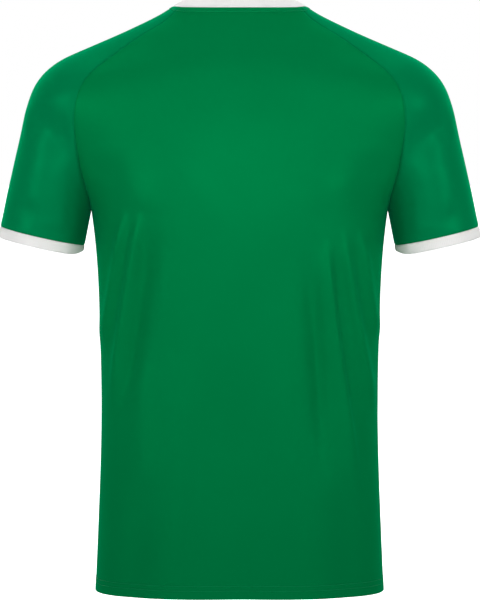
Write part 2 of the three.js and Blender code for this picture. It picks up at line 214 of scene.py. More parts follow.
SLEEVE = [
    SleeveSection(*row)
    for row in (
        (81.4, 2.2, 73.5, 1.4, 1.2, 8.4, 0.18, 55.8),
        (98.6, -9.1, 90.6, -15.4, 3.4, 10.6, 0.197, 58),
        (127, -23.1, 117.5, -32, 6, 11.8, 0.22, 62),
        (159.1, -37.7, 147.8, -52.8, 8, 12, 0.294, 66),
        (192, -51.9, 170.7, -69.8, 10, 12, 0.434, 70),
        (217, -63, 183.7, -81.9, 11, 11, 0.597, 73),
        (234.3, -74.8, 193.2, -95.2, 12, 10, 0.73, 75),
        (246, -87.1, 198.6, -109.2, 12.5, 8, 0.848, 76),
        (254, -100.1, 201, -124.4, 12.5, 6.5, 0.965, 75.5),
        (259.5, -113.8, 201.6, -141.4, 12, 5, 1.09, 73),
        (264.7, -131, 200, -159.8, 10.5, 3.5, 1.235, 68.8),
        (269.8, -154.3, 196.9, -182, 8, 2, 1.4, 64),
        (275.8, -180.4, 192.1, -206.8, 5, 1, 1.605, 60.5),
        (281.1, -204.3, 186.5, -228.2, 1.8, 0.3, 1.82, 58.5),
        (286.4, -226.8, 183, -250, 0, 0, 2, 57.5),
    )
]


@dataclass(frozen=True)
class SleeveEnd:
    """The closed section at the cuff seam: its outer and inner line seen square on, and its half depth."""

    top_x: float = 295.5
    top_z: float = -269.0
    inner_x: float = 191.4
    inner_z: float = -292.6
    depth: float = 56.5


def columns_of(table: Sequence[object], key: str | None = None) -> dict[str, Spline]:
    """Makes a spline through each column of a table.

    Args:
        table: rows, each a dataclass of numbers.
        key: the column to run along, or None for the row's number.

    Returns:
        The splines by column name.
    """
    knots = [getattr(row, key) if key else i for i, row in enumerate(table)]
    return {name: Spline(knots, [getattr(row, name) for row in table]) for name in vars(table[0])}


TORSO_AT = columns_of(TORSO, "below")
SLEEVE_AT = columns_of(SLEEVE)
ARM_OUTER = np.array([[SLEEVE[-1].top_x, SLEEVE[-1].top_z], [SleeveEnd.top_x, SleeveEnd.top_z]])
ARM_INNER = np.array([[SLEEVE[-1].seam_x, SLEEVE[-1].seam_z], [SleeveEnd.inner_x, SleeveEnd.inner_z]])
ARM_DOWN = unit(np.array([ARM_OUTER[1, 0] - ARM_OUTER[0, 0], 0, ARM_OUTER[1, 1] - ARM_OUTER[0, 1]]))


def edge_steps(count: int, near_seam: Sequence[float] = NEAR_SEAM) -> np.ndarray:
    """Even shares from 0 to 1 with a few more in the last step, where a piece dips into its seam."""
    even = np.linspace(0, 1, count + 1)
    return np.sort(np.concatenate([even, 1 - np.array(near_seam) / count]))


def closer_steps(counts: Sequence[int], stops: Sequence[float]) -> np.ndarray:
    """Shares from 0 to 1 with a few more in the last step, divided more closely between some of the stops.

    Args:
        counts: the number of steps up to each stop.
        stops: rising shares, the last of them 1.

    Returns:
        The shares.
    """
    starts = [0.0, *stops[:-1]]
    parts = [np.linspace(a, b, n, endpoint=False) for a, b, n in zip(starts, stops, counts)]
    last = (stops[-1] - starts[-1]) / counts[-1]
    return np.concatenate([*parts, 1 - np.array(NEAR_SEAM) * last, [1.0]])


def column_shares(steps: np.ndarray, end: float) -> np.ndarray:
    """Crowds shares towards the seam of a section that ends at a share of its full turn.

    Args:
        steps: shares from the middle, 0, to the seam, 1.
        end: the share of the full turn at which the seam lies.

    Returns:
        The share of the full turn for each step.
    """
    power = min(STRONGEST_CROWDING, (1 - SEAM_STEP * end) / max(1 - end, 1e-6))
    return steps - (1 - end) * steps**power


def sleeve_arc(
    top: np.ndarray, seam: np.ndarray, half_width: float, half_depth: float, side: Side, steps: np.ndarray
) -> np.ndarray:
    """Half of a sleeve section, an elliptical arc from the top line to the seam.

    Args:
        top: x and z of the top line.
        seam: x and z of the seam.
        half_width: half the width of the whole ellipse.
        half_depth: its half depth.
        side: back or front.
        steps: shares from the top line to the seam.

    Returns:
        The arc's points.
    """
    reach = float(np.linalg.norm(seam - top))
    end = math.acos(max(-1.0, 1 - reach / half_width))
    turns = column_shares(steps, end / math.pi) * math.pi
    share = half_width * (1 - np.cos(turns)) / reach
    depth = side.value * half_depth * np.sin(turns)
    points = np.stack([mix(top[0], seam[0], share), depth, mix(top[1], seam[1], share)], axis=-1)
    if end > math.pi - 1e-4:
        points[-1] = seam[0], 0, seam[1]
    return points


def sleeve_halves(row: float, steps: np.ndarray) -> dict[Side, np.ndarray]:
    """Works out both arcs of the sleeve's section at a row.

    Args:
        row: the row's number, 0 at the neck and 14 at the underarm.
        steps: shares from the top line to the seams.

    Returns:
        The arc to the back seam and the arc to the front seam.
    """
    at = {name: float(spline(row)) for name, spline in SLEEVE_AT.items()}
    top, back = np.array([at["top_x"], at["top_z"]]), np.array([at["seam_x"], at["seam_z"]])
    front = back - (at["inward"], at["drop"])
    half_width = float(np.linalg.norm(back - top)) / at["wrap"]
    return {
        Side.BACK: sleeve_arc(top, back, half_width, at["depth"], Side.BACK, steps),
        Side.FRONT: sleeve_arc(top, front, half_width, at["depth"], Side.FRONT, steps),
    }


def arm_halves(share: float, steps: np.ndarray) -> dict[Side, np.ndarray]:
    """Works out both arcs of the closed arm below the underarm.

    Args:
        share: the share of the way from the underarm to the cuff seam.
        steps: shares from the top line to the underarm seam.

    Returns:
        The arc behind and the arc in front.
    """
    top, inner = mix(ARM_OUTER[0], ARM_OUTER[1], share), mix(ARM_INNER[0], ARM_INNER[1], share)
    half_width = float(np.linalg.norm(inner - top)) / 2
    depth = mix(SLEEVE[-1].depth, SleeveEnd.depth, share)
    return {side: sleeve_arc(top, inner, half_width, depth, side, steps) for side in Side}


def whole_row(halves: dict[Side, np.ndarray]) -> np.ndarray:
    """Returns a sleeve row from its back seam over the top line to its front seam."""
    return np.concatenate([halves[Side.BACK][::-1], halves[Side.FRONT][1:]])


def torso_row(end: np.ndarray, side: Side, closed: float, middle_z: float, steps: np.ndarray) -> np.ndarray:
    """One row across the back or front, from the wearer's left to right.

    Args:
        end: the seam point at the wearer's left.
        side: back or front.
        closed: from 0, a gentle curve between raglan seams, to 1, a closed oval.
        middle_z: the row's height at the middle.
        steps: shares from the middle to the seam.

    Returns:
        The row's points.
    """
    depth_at = TORSO_AT["back" if side is Side.BACK else "front"]
    end_x, end_y, end_z = end[0], abs(end[1]), end[2]
    width = end_x / (1 - (end_y / depth_at(-end_z)) ** OVAL_POWER) ** (1 / OVAL_POWER)
    half = column_shares(steps, math.asin(min(1.0, end_x / width)) / (math.pi / 2))
    turns = np.concatenate([half[::-1], -half[1:]])
    x = width * np.sin(math.pi / 2 * turns)
    across = np.minimum(1, np.abs(x) / end_x)
    z = end_z + (middle_z - end_z) * np.sqrt(1 - across**2)
    depth = depth_at(-z)
    gentle = depth - (depth - end_y) * across**SHOULDER_POWER
    reach = (1 - (end_y / depth) ** OVAL_POWER) ** (1 / OVAL_POWER)
    oval = depth * np.maximum(0, 1 - (across * reach) ** OVAL_POWER) ** (1 / OVAL_POWER)
    points = np.stack([x, side.value * mix(gentle, oval, closed), z], axis=-1)
    points[0] = end[0], end[1], end[2]
    points[-1] = -end[0], end[1], end[2]
    return points


@dataclass(frozen=True)
class Fold:
    """A soft ridge, or a trough where its height is negative, bowed through three points seen square on.

    Its two sides may differ: one falls away steeply while the other is drawn out. The side of larger X of a fold
    that runs down has the first width, and the same side of the line holds for the others.
    """

    start: tuple[float, float]
    middle: tuple[float, float]
    end: tuple[float, float]
    height: float
    widths: tuple[float, float]
    fade_in: float = 0.3
    fade_out: float = 0.35

    def height_at(self, x: np.ndarray, z: np.ndarray) -> np.ndarray:
        """Height over the cloth, in millimetres.

        Args:
            x: positions across, seen square on.
            z: positions up, of the same shape.

        Returns:
            The fold's height at each.
        """
        share = np.linspace(0, 1, 25)[:, None]
        bow = 2 * np.array(self.middle) - (np.array(self.start) + np.array(self.end)) / 2
        path = (1 - share) ** 2 * np.array(self.start) + 2 * share * (1 - share) * bow + share**2 * np.array(self.end)
        offsets = np.stack([x, z], axis=-1)[..., None, :] - path[:-1]
        legs = np.diff(path, axis=0)
        along = np.clip((offsets * legs).sum(-1) / (legs**2).sum(-1), 0, 1)
        distances = np.linalg.norm(offsets - along[..., None] * legs, axis=-1)
        nearest = distances.argmin(-1)[..., None]
        off = np.take_along_axis(distances, nearest, -1)[..., 0]
        turn = legs[:, 0] * offsets[..., 1] - legs[:, 1] * offsets[..., 0]
        first_side = np.take_along_axis(turn, nearest, -1)[..., 0] > 0
        width = np.where(first_side, *self.widths)
        place = ((nearest + np.take_along_axis(along, nearest, -1)) / len(legs))[..., 0]
        fade = smoothstep(place / self.fade_in) * smoothstep((1 - place) / self.fade_out)
        return self.height * fade * np.exp(-((off / width) ** 2))


BACK_FOLDS = [
    # left flank: two sharp pulls from the armhole that face inwards, and the long hollow beside them
    Fold((140, -240), (151, -324), (170, -424), 5.8, (7.5, 4.4), 0.28, 0.2),
    Fold((119, -244), (135, -345), (160, -508), 6.8, (7.5, 5.2), 0.26, 0.25),
    Fold((110, -252), (124, -362), (149, -520), -7.4, (6.5, 14), 0.35, 0.3),
    Fold((92, -225), (84, -300), (102, -420), 3.0, (12, 26), 0.4, 0.4),
    Fold((121, -410), (119, -500), (124, -600), 3.0, (16, 12), 0.4, 0.4),
    # right flank: three pulls that lean the other way, with a trough beside them
    Fold((-147, -262), (-157, -345), (-169, -416), 5.4, (4.4, 7.5), 0.3, 0.25),
    Fold((-125, -264), (-141, -378), (-168, -508), 6.6, (5.2, 7.5), 0.26, 0.22),
    Fold((-105, -276), (-116, -402), (-151, -620), 7.6, (11, 6.5), 0.28, 0.28),
    Fold((-84, -292), (-95, -415), (-108, -590), -7.4, (12, 8.5), 0.34, 0.35),
    Fold((-60, -330), (-66, -430), (-72, -540), 2.0, (16, 9), 0.4, 0.4),
    # hollows at the armholes, where the cloth turns under the arm
    Fold((170, -170), (160, -222), (152, -292), -5.2, (24, 22), 0.35, 0.5),
    Fold((-170, -170), (-162, -222), (-154, -288), -5.2, (24, 22), 0.35, 0.5),
    # the blades stand out, with a break above them and a dip between
    Fold((166, -96), (80, -64), (-34, -74), 3.8, (34, 17), 0.3, 0.4),
    Fold((34, -74), (-80, -64), (-166, -98), 3.8, (34, 17), 0.4, 0.3),
    Fold((118, -150), (60, -205), (16, -300), 2.8, (34, 22), 0.5, 0.5),
    Fold((142, -212), (104, -232), (60, -208), 2.4, (15, 28), 0.45, 0.5),
    Fold((-140, -206), (-108, -220), (-72, -202), 1.8, (15, 26), 0.45, 0.5),
    # the loose lower back
    Fold((-2, -400), (-3, -580), (-2, -770), -7.5, (40, 38), 0.4, 0.1),
    Fold((58, -380), (68, -540), (92, -750), 4.2, (24, 20), 0.4, 0.25),
    Fold((-48, -400), (-62, -550), (-104, -750), 4.0, (20, 24), 0.4, 0.25),
    Fold((118, -560), (127, -650), (132, -760), -3.0, (20, 18), 0.4, 0.2),
    Fold((-128, -560), (-132, -650), (-130, -760), -3.2, (18, 20), 0.4, 0.2),
]

FRONT_FOLDS = [
    Fold((132, -262), (147, -340), (161, -445), 2.4, (9, 5.5)),
    Fold((112, -270), (124, -350), (140, -455), 1.8, (9, 6)),
    Fold((96, -300), (104, -400), (119, -525), 2.3, (11, 9)),
    Fold((123, -280), (134, -350), (151, -450), -1.5, (7, 7)),
    Fold((-128, -265), (-146, -350), (-159, -460), 2.4, (5.5, 9)),
    Fold((-108, -290), (-120, -370), (-132, -480), 1.8, (6, 9)),
    Fold((-100, -320), (-103, -430), (-113, -545), 2.2, (9, 11)),
    Fold((-118, -285), (-130, -360), (-146, -470), -1.5, (7, 7)),
    Fold((166, -180), (171, -212), (166, -250), -4, (20, 20), 0.4, 0.4),
    Fold((-166, -180), (-171, -212), (-166, -250), -4, (20, 20), 0.4, 0.4),
    Fold((8, -110), (10, -180), (6, -260), -2, (34, 34), 0.5, 0.5),
    Fold((4, -430), (6, -590), (8, -770), -4, (44, 44), 0.4, 0.1),
    Fold((-52, -470), (-58, -600), (-50, -750), 2.2, (24, 24), 0.4, 0.3),
    Fold((70, -500), (78, -610), (72, -750), 2.0, (22, 22), 0.4, 0.3),
]

SLEEVE_BACK_FOLDS = [
    # the hollow under the shoulder, and the full part of the sleeve under it
    Fold((264, -138), (236, -148), (206, -190), -6.6, (15, 24), 0.35, 0.35),
    Fold((219, -176), (220, -218), (222, -275), 3.0, (24, 13), 0.4, 0.1),
    Fold((256, -170), (249, -208), (244, -262), 2.6, (24, 22), 0.4, 0.3),
    Fold((276, -234), (262, -246), (240, -266), -1.6, (12, 10), 0.4, 0.4),
]

SLEEVE_FRONT_FOLDS = [
    Fold((232, -100), (212, -142), (200, -192), -3.4, (15, 15), 0.35, 0.4),
    Fold((258, -140), (245, -188), (240, -245), 1.7, (13, 13), 0.4, 0.4),
    Fold((218, -205), (226, -238), (230, -268), 1.5, (9, 9), 0.4, 0.4),
    Fold((204, -212), (211, -242), (213, -272), -1.4, (8, 8), 0.4, 0.4),
]


def fold_heights(folds: Sequence[Fold], points: np.ndarray) -> np.ndarray:
    """Sums the heights of some folds.

    Args:
        folds: the folds.
        points: rows by columns by 3, in metres.

    Returns:
        The height at each point, in metres.
    """
    x, z = points[..., 0] / MM, points[..., 2] / MM
    return MM * sum(fold.height_at(x, z) for fold in folds)


@dataclass
class Cloth:
    """One cut piece as a grid of outer points, in metres, from which its thin closed shell is made."""

    name: str
    outer: np.ndarray
    outward: tuple[float, float, float]
    wall: np.ndarray
    ring: bool = False
    dip: float = 0.75
    dip_reach: float = 1.6
    shares: dict[Edge, np.ndarray] = field(default_factory=dict)

    def steps(self, axis: int) -> np.ndarray:
        """Returns the distances between neighbouring points along rows (axis 0) or columns (axis 1)."""
        return np.linalg.norm(np.diff(self.outer, axis=axis), axis=-1)

    def distance(self, edge: Edge) -> np.ndarray:
        """Measures how far the points lie from an edge.

        Args:
            edge: the edge.

        Returns:
            The distance of each point, along its own row or column.
        """
        axis = 1 if edge in (Edge.FIRST, Edge.LAST) else 0
        steps = self.steps(axis)
        if edge in (Edge.LAST, Edge.BOTTOM):
            steps = np.flip(steps, axis)
        start = np.zeros_like(np.take(steps, [0], axis))
        run = np.concatenate([start, np.cumsum(steps, axis)], axis)
        return np.flip(run, axis) if edge in (Edge.LAST, Edge.BOTTOM) else run

    def normals(self, points: np.ndarray | None = None) -> np.ndarray:
        """Finds the outward normals of a grid.

        Args:
            points: a grid of the same shape as the outer points, or None for those.

        Returns:
            The normal at each point.
        """
        grid = self.outer if points is None else points
        down = np.gradient(grid, axis=0)
        if self.ring:
            across = (np.roll(grid, -1, 1) - np.roll(grid, 1, 1)) / 2
        else:
            across = np.gradient(grid, axis=1)
        found = unit(np.cross(down, across))
        middle = found[found.shape[0] // 2, found.shape[1] // 2]
        return found if float(middle @ np.array(self.outward)) > 0 else -found

    def way_out(self) -> np.ndarray:
        """Finds the way out of the cloth: its normal, shared with the neighbours at the seams.

        Returns:
            The way out at each point.
        """
        way = self.normals()
        for edge, shared in self.shares.items():
            weight = (1 - smoothstep(self.distance(edge) / (SHARED_NORMAL_REACH * MM)))[..., None]
            spread = shared[:, None, :] if edge in (Edge.FIRST, Edge.LAST) else shared[None, :, :]
            way = unit(way * (1 - weight) + spread * weight)
        return way

    def lift(self, heights: np.ndarray) -> None:
        """Moves the outer points out of the cloth by the heights, in metres."""
        self.outer = self.outer + self.way_out() * heights[..., None]

    def edge_points(self, edge: Edge, grid: np.ndarray) -> np.ndarray:
        """Returns the grid's values along an edge."""
        rows = {Edge.TOP: grid[0], Edge.BOTTOM: grid[-1], Edge.FIRST: grid[:, 0], Edge.LAST: grid[:, -1]}
        return rows[edge]

    def seam_normals(self) -> None:
        """Starts the edges' shared normals from the piece's own."""
        own = self.normals()
        edges = (Edge.TOP, Edge.BOTTOM) if self.ring else Edge
        self.shares = {edge: self.edge_points(edge, own).copy() for edge in edges}

    def meet_corners(self) -> None:
        """Gives each corner of the grid one shared normal."""
        for across, row in ((Edge.TOP, 0), (Edge.BOTTOM, -1)):
            for along, column in ((Edge.FIRST, 0), (Edge.LAST, -1)):
                corner = unit(self.shares[across][column] + self.shares[along][row])
                self.shares[across][column] = self.shares[along][row] = corner

    def dips(self, edges: Sequence[Edge]) -> np.ndarray:
        """Works out how the cloth dips where it turns into its sewn edges.

        Args:
            edges: the sewn edges.

        Returns:
            The height at each point, in metres and below 0.
        """
        reach = self.dip_reach * MM
        drops = [self.dip * MM * np.exp(-((self.distance(edge) / reach) ** 2)) for edge in edges]
        return -np.max(drops, axis=0)

    def open_seam(self, edge: Edge) -> None:
        """Draws an edge back by half the seam gap.

        Args:
            edge: the edge.
        """
        index = {Edge.TOP: (0, 1), Edge.BOTTOM: (-1, -2), Edge.FIRST: (0, 1), Edge.LAST: (-1, -2)}[edge]
        grid = self.outer if edge in (Edge.TOP, Edge.BOTTOM) else self.outer.transpose(1, 0, 2)
        grid[index[0]] += unit(grid[index[1]] - grid[index[0]]) * SEAM_GAP / 2 * MM

    def inner(self) -> np.ndarray:
        """Works out the inner points: straight through the wall, mitred with the neighbours near the seams.

        Returns:
            The grid of inner points.
        """
        way = self.way_out()
        through = way / np.maximum((self.normals() * way).sum(-1, keepdims=True), 0.8)
        return self.outer - through * self.wall[:, None, None] * MM

    def faces(self, points: np.ndarray) -> np.ndarray:
        """Makes the outer faces, the inner faces and the rim between them.

        Args:
            points: the outer points, then as many inner ones.

        Returns:
            Four point numbers for each face, all turned to face out of the wall.
        """
        rows, columns = self.outer.shape[:2]
        last = columns if self.ring else columns - 1
        r, c = np.meshgrid(np.arange(rows - 1), np.arange(last), indexing="ij")
        r, c = r.ravel(), c.ravel()
        right = (c + 1) % columns
        quads = np.stack([r * columns + c, (r + 1) * columns + c, (r + 1) * columns + right, r * columns + right], 1)
        found = np.cross(points[quads[:, 1]] - points[quads[:, 0]], points[quads[:, 3]] - points[quads[:, 0]])
        if float((found * self.normals().reshape(-1, 3)[quads[:, 0]]).sum()) < 0:
            quads = quads[:, ::-1]
        rim = self.rim_faces(quads, self.rim(rows, columns), columns)
        return np.concatenate([quads, quads[:, ::-1] + rows * columns, rim])

    def flat_places(self, faces: np.ndarray) -> np.ndarray:
        """Lays the faces out flat, in metres of cloth from the first row and the middle column.

        Args:
            faces: four point numbers for each face.

        Returns:
            The UV place of each corner of each face.
        """
        rows, columns = self.outer.shape[:2]
        u_steps = np.concatenate([np.zeros((rows, 1)), np.cumsum(self.steps(1), 1)], 1)
        v_steps = np.concatenate([[0], np.cumsum(np.median(self.steps(0), axis=1))])
        u = u_steps - u_steps[:, [columns // 2]]
        v = np.broadcast_to(v_steps[:, None], u.shape)
        point = faces % (rows * columns)
        places = np.stack([u.ravel(), v.ravel()], 1)[point]
        if self.ring:
            closing = np.linalg.norm(self.outer[:, 0] - self.outer[:, -1], axis=-1)
            column = point % columns
            wraps = (column == 0) & (column.max(1, keepdims=True) == columns - 1)
            places[..., 0] = np.where(wraps, (u[:, -1] + closing)[point // columns], places[..., 0])
        return places

    def shell(self, material: bpy.types.Material) -> bpy.types.Object:
        """Makes the closed shell of the piece, with its UV map in metres of cloth.

        Args:
            material: the finish.

        Returns:
            The new object.
        """
        points = np.concatenate([self.outer.reshape(-1, 3), self.inner().reshape(-1, 3)])
        faces = self.faces(points)
        mesh = bpy.data.meshes.new(self.name)
        mesh.vertices.add(len(points))
        mesh.vertices.foreach_set("co", points.ravel())
        mesh.loops.add(faces.size)
        mesh.loops.foreach_set("vertex_index", faces.ravel().astype(np.int32))
        mesh.polygons.add(len(faces))
        mesh.polygons.foreach_set("loop_start", np.arange(0, faces.size, 4, dtype=np.int32))
        mesh.uv_layers.new(name="cloth").data.foreach_set("uv", self.flat_places(faces).ravel())
        mesh.materials.append(material)
        mesh.update(calc_edges=True)
        mesh.shade_smooth()
        mesh.set_sharp_from_angle(angle=SHARP_EDGE)
        mesh.validate()
        obj = bpy.data.objects.new(self.name, mesh)
        bpy.context.scene.collection.objects.link(obj)
        return obj

    def rim(self, rows: int, columns: int) -> np.ndarray:
        """Finds the pairs of neighbouring outer points round the open edges of the grid.

        Args:
            rows: the grid's number of rows.
            columns: its number of columns.

        Returns:
            Two point numbers for each pair.
        """
        index = np.arange(rows * columns).reshape(rows, columns)
        if self.ring:
            top = np.stack([index[0], np.roll(index[0], -1)], 1)
            bottom = np.stack([index[-1], np.roll(index[-1], -1)], 1)
            return np.concatenate([top, bottom])
        lines = [index[0], index[-1], index[:, 0], index[:, -1]]
        return np.concatenate([np.stack([line[:-1], line[1:]], 1) for line in lines])

    def rim_faces(self, quads: np.ndarray, pairs: np.ndarray, columns: int) -> np.ndarray:
        """Makes the rim's faces, turned against the outer faces beside them.

        Args:
            quads: the outer faces.
            pairs: neighbouring outer points of the rim.
            columns: the grid's number of columns.

        Returns:
            One face for each pair.
        """
        count = self.outer.shape[0] * columns
        used = np.concatenate([quads[:, k] * count + quads[:, (k + 1) % 4] for k in range(4)])
        turned = np.isin(pairs[:, 0] * count + pairs[:, 1], used)[:, None]
        start, stop = np.where(turned, pairs[:, ::-1], pairs).T
        return np.stack([start, stop, stop + count, start + count], axis=1)


def join(first: Cloth, a: Edge, second: Cloth, b: Edge, rows_a: slice, rows_b: slice) -> None:
    """Gives two edges that meet the same normals, between their own.

    Args:
        first: one piece.
        a: its edge.
        second: the other piece.
        b: its edge.
        rows_a: the part of the first edge that is sewn.
        rows_b: the part of the second edge, in the same order.
    """
    own_a, own_b = first.shares[a][rows_a].copy(), second.shares[b][rows_b].copy()
    first.shares[a][rows_a] = unit(own_a + own_b)
    second.shares[b][rows_b] = unit(own_a + own_b)


def join_to_band(cloths: Sequence[Cloth], edge: Edge, band: Cloth) -> None:
    """Gives the pieces' edges and the ring of the band that is sewn to them the same normals.

    Args:
        cloths: the pieces that the band goes round.
        edge: the edge of each that is sewn to the band.
        band: the band, whose first row is its seam.
    """
    points = np.concatenate([cloth.edge_points(edge, cloth.outer) for cloth in cloths])
    own = np.concatenate([cloth.shares[edge] for cloth in cloths])
    ring, ring_normals = band.outer[0], band.shares[Edge.TOP].copy()
    apart = np.linalg.norm(points[:, None] - ring[None], axis=-1)
    band.shares[Edge.TOP] = unit(ring_normals + own[apart.argmin(0)])
    met = unit(own + ring_normals[apart.argmin(1)])
    ends = np.cumsum([len(cloth.shares[edge]) for cloth in cloths])[:-1]
    for cloth, normals in zip(cloths, np.split(met, ends)):
        cloth.shares[edge] = normals


# --------------------------------------------------------------------------- nodes


class Nodes:
    """A node tree, and the one way in which nodes are added to it."""

    def __init__(self, tree: bpy.types.NodeTree) -> None:
        """Keeps the tree."""
        self.tree = tree

    def add(
        self, kind: str, settings: dict[str, object] | None = None, inputs: dict[str | int, object] | None = None
    ) -> bpy.types.Node:
        """Adds a node.

        Args:
            kind: the node's type.
            settings: its properties, set first.
            inputs: a value or a link for each input socket, by name or number.

        Returns:
            The new node.
        """
        node = self.tree.nodes.new(kind)
        for name, value in (settings or {}).items():
            setattr(node, name, value)
        for name, value in (inputs or {}).items():
            source = value.socket if isinstance(value, Value) else value
            if isinstance(source, bpy.types.NodeSocket):
                self.tree.links.new(source, node.inputs[name])
            else:
                node.inputs[name].default_value = source
        return node


class Value:
    """A number that varies over a surface; sums on it add Math nodes."""

    def __init__(self, nodes: Nodes, socket: bpy.types.NodeSocket) -> None:
        """Keeps the socket and the tree that it is in."""
        self.nodes = nodes
        self.socket = socket

    def math(self, operation: str, first: object, second: object = 0.0) -> "Value":
        """Returns the result of a Math node on two values."""
        node = self.nodes.add("ShaderNodeMath", {"operation": operation}, {0: first, 1: second})
        return Value(self.nodes, node.outputs[0])

    def __add__(self, other: object) -> "Value":
        """Returns the sum."""
        return self.math("ADD", self, other)

    __radd__ = __add__

    def __sub__(self, other: object) -> "Value":
        """Returns the difference."""
        return self.math("SUBTRACT", self, other)

    def __rsub__(self, other: object) -> "Value":
        """Returns the difference, taken from a number."""
        return self.math("SUBTRACT", other, self)

    def __mul__(self, other: object) -> "Value":
        """Returns the product."""
        return self.math("MULTIPLY", self, other)

    __rmul__ = __mul__

    def __truediv__(self, other: object) -> "Value":
        """Returns the quotient."""
        return self.math("DIVIDE", self, other)

    def __pow__(self, power: float) -> "Value":
        """Returns the power."""
        return self.math("POWER", self, power)

    def sine(self) -> "Value":
        """Returns the sine."""
        return self.math("SINE", self)

    def size(self) -> "Value":
        """Returns the size without its sign."""
        return self.math("ABSOLUTE", self)


def new_material(name: str) -> tuple[bpy.types.Material, Nodes]:
    """Starts a material with an empty node tree.

    Args:
        name: the material's name.

    Returns:
        The material and its nodes.
    """
    made = bpy.data.materials.new(name)
    made.use_nodes = True
    made.node_tree.nodes.clear()
    return made, Nodes(made.node_tree)


@dataclass(frozen=True)
class KnitFinish:
    """A smooth knitted cloth: its colours, the pitch of its loops in millimetres, its gloss and relief."""

    name: str
    colour: tuple[float, float, float]
    # the darker colour, reached by random mottling and by painted shade in the knit's low places
    deep: tuple[float, float, float]
    wale: float
    course: float
    roughness: float
    specular: float
    specular_tint: tuple[float, float, float]
    sheen: float
    sheen_tint: tuple[float, float, float]
    sheen_roughness: float
    relief: float
    metallic: float = 0.0

    def material(self) -> bpy.types.Material:
        """Makes the finish's material.

        Returns:
            A material that reads the piece's UV map, which is in metres of cloth.
        """
        made, nodes = new_material(self.name)
        place = nodes.add("ShaderNodeUVMap", {"uv_map": "cloth"})
        parts = nodes.add("ShaderNodeSeparateXYZ", None, {0: place.outputs[0]})
        across, along = Value(nodes, parts.outputs[0]), Value(nodes, parts.outputs[1])
        leg = (across * (math.pi / (self.wale * MM))).sine().size()
        loop = ((along / (self.course * MM) + leg * 0.5) * (2 * math.pi)).sine() * 0.5 + 0.5
        height = leg * 0.65 + loop * 0.35
        noise = nodes.add(
            "ShaderNodeTexNoise",
            {"noise_dimensions": "2D"},
            {"Vector": place.outputs[0], "Scale": 14.0, "Detail": 3.0, "Roughness": 0.5},
        )
        fibre = nodes.add(
            "ShaderNodeTexNoise",
            {"noise_dimensions": "2D"},
            {"Vector": place.outputs[0], "Scale": 900.0, "Detail": 2.0, "Roughness": 0.6},
        )
        drift, fluff = Value(nodes, noise.outputs[0]), Value(nodes, fibre.outputs[0])
        # Painted shade: the low places of the loops and fibres take the deep colour, and the broad noise adds random
        # mottling on top.
        loop_shade_and_mottle = height * 0.35 + drift * 0.3 + fluff * 0.25 + 0.22
        colour = nodes.add(
            "ShaderNodeMix",
            {"data_type": "RGBA", "clamp_factor": True},
            {0: loop_shade_and_mottle, 6: (*self.deep, 1.0), 7: (*self.colour, 1.0)},
        )
        rough = fluff * 0.1 + (self.roughness - 0.05)
        bump = nodes.add(
            "ShaderNodeBump", None, {"Strength": 1.0, "Distance": self.relief * MM, "Height": height + fluff * 0.3}
        )
        shader = nodes.add(
            "ShaderNodeBsdfPrincipled",
            None,
            {
                "Base Color": colour.outputs[2],
                "Roughness": rough,
                "Metallic": self.metallic,
                "Normal": bump.outputs[0],
                "Specular IOR Level": self.specular,
                "Specular Tint": (*self.specular_tint, 1.0),
                "Sheen Weight": self.sheen,
                "Sheen Tint": (*self.sheen_tint, 1.0),
                "Sheen Roughness": self.sheen_roughness,
            },
        )
        nodes.add("ShaderNodeOutputMaterial", None, {"Surface": shader.outputs[0]})
        return made


@dataclass(frozen=True)
class ThreadFinish:
    """Spun polyester sewing thread: its colours and gloss."""

    name: str
    colour: tuple[float, float, float]
    deep: tuple[float, float, float]
    roughness: float = 0.5
    specular: float = 0.2

    def material(self) -> bpy.types.Material:
        """Makes the thread's material, with a fine twist over Object coordinates.

        Returns:
            The material.
        """
        made, nodes = new_material(self.name)
        place = nodes.add("ShaderNodeTexCoord")
        noise = nodes.add(
            "ShaderNodeTexNoise", None, {"Vector": place.outputs["Object"], "Scale": 2500.0, "Detail": 1.0}
        )
        twist = Value(nodes, noise.outputs[0])
        colour = nodes.add(
            "ShaderNodeMix",
            {"data_type": "RGBA", "clamp_factor": True},
            {0: twist * 1.4 - 0.2, 6: (*self.deep, 1.0), 7: (*self.colour, 1.0)},
        )
        shader = nodes.add(
            "ShaderNodeBsdfPrincipled",
            None,
            {
                "Base Color": colour.outputs[2],
                "Roughness": twist * 0.2 + (self.roughness - 0.1),
                "Specular IOR Level": self.specular,
            },
        )
        nodes.add("ShaderNodeOutputMaterial", None, {"Surface": shader.outputs[0]})
        return made


GREEN_GLOSS = {
    "wale": 1.1,
    "course": 0.9,
    "roughness": 0.42,
    "specular": 0.0,
    "specular_tint": (0, 1, 0.5),
    "sheen_tint": (0, 0.8, 0.4),
    "sheen_roughness": 0.4,
    "relief": 0.03,
    "metallic": 0.2,
}
BODY_KNIT = KnitFinish(
    name="body_knit", colour=(0.0, 0.205, 0.058), deep=(0.0, 0.168, 0.044), sheen=0.2, **GREEN_GLOSS
)
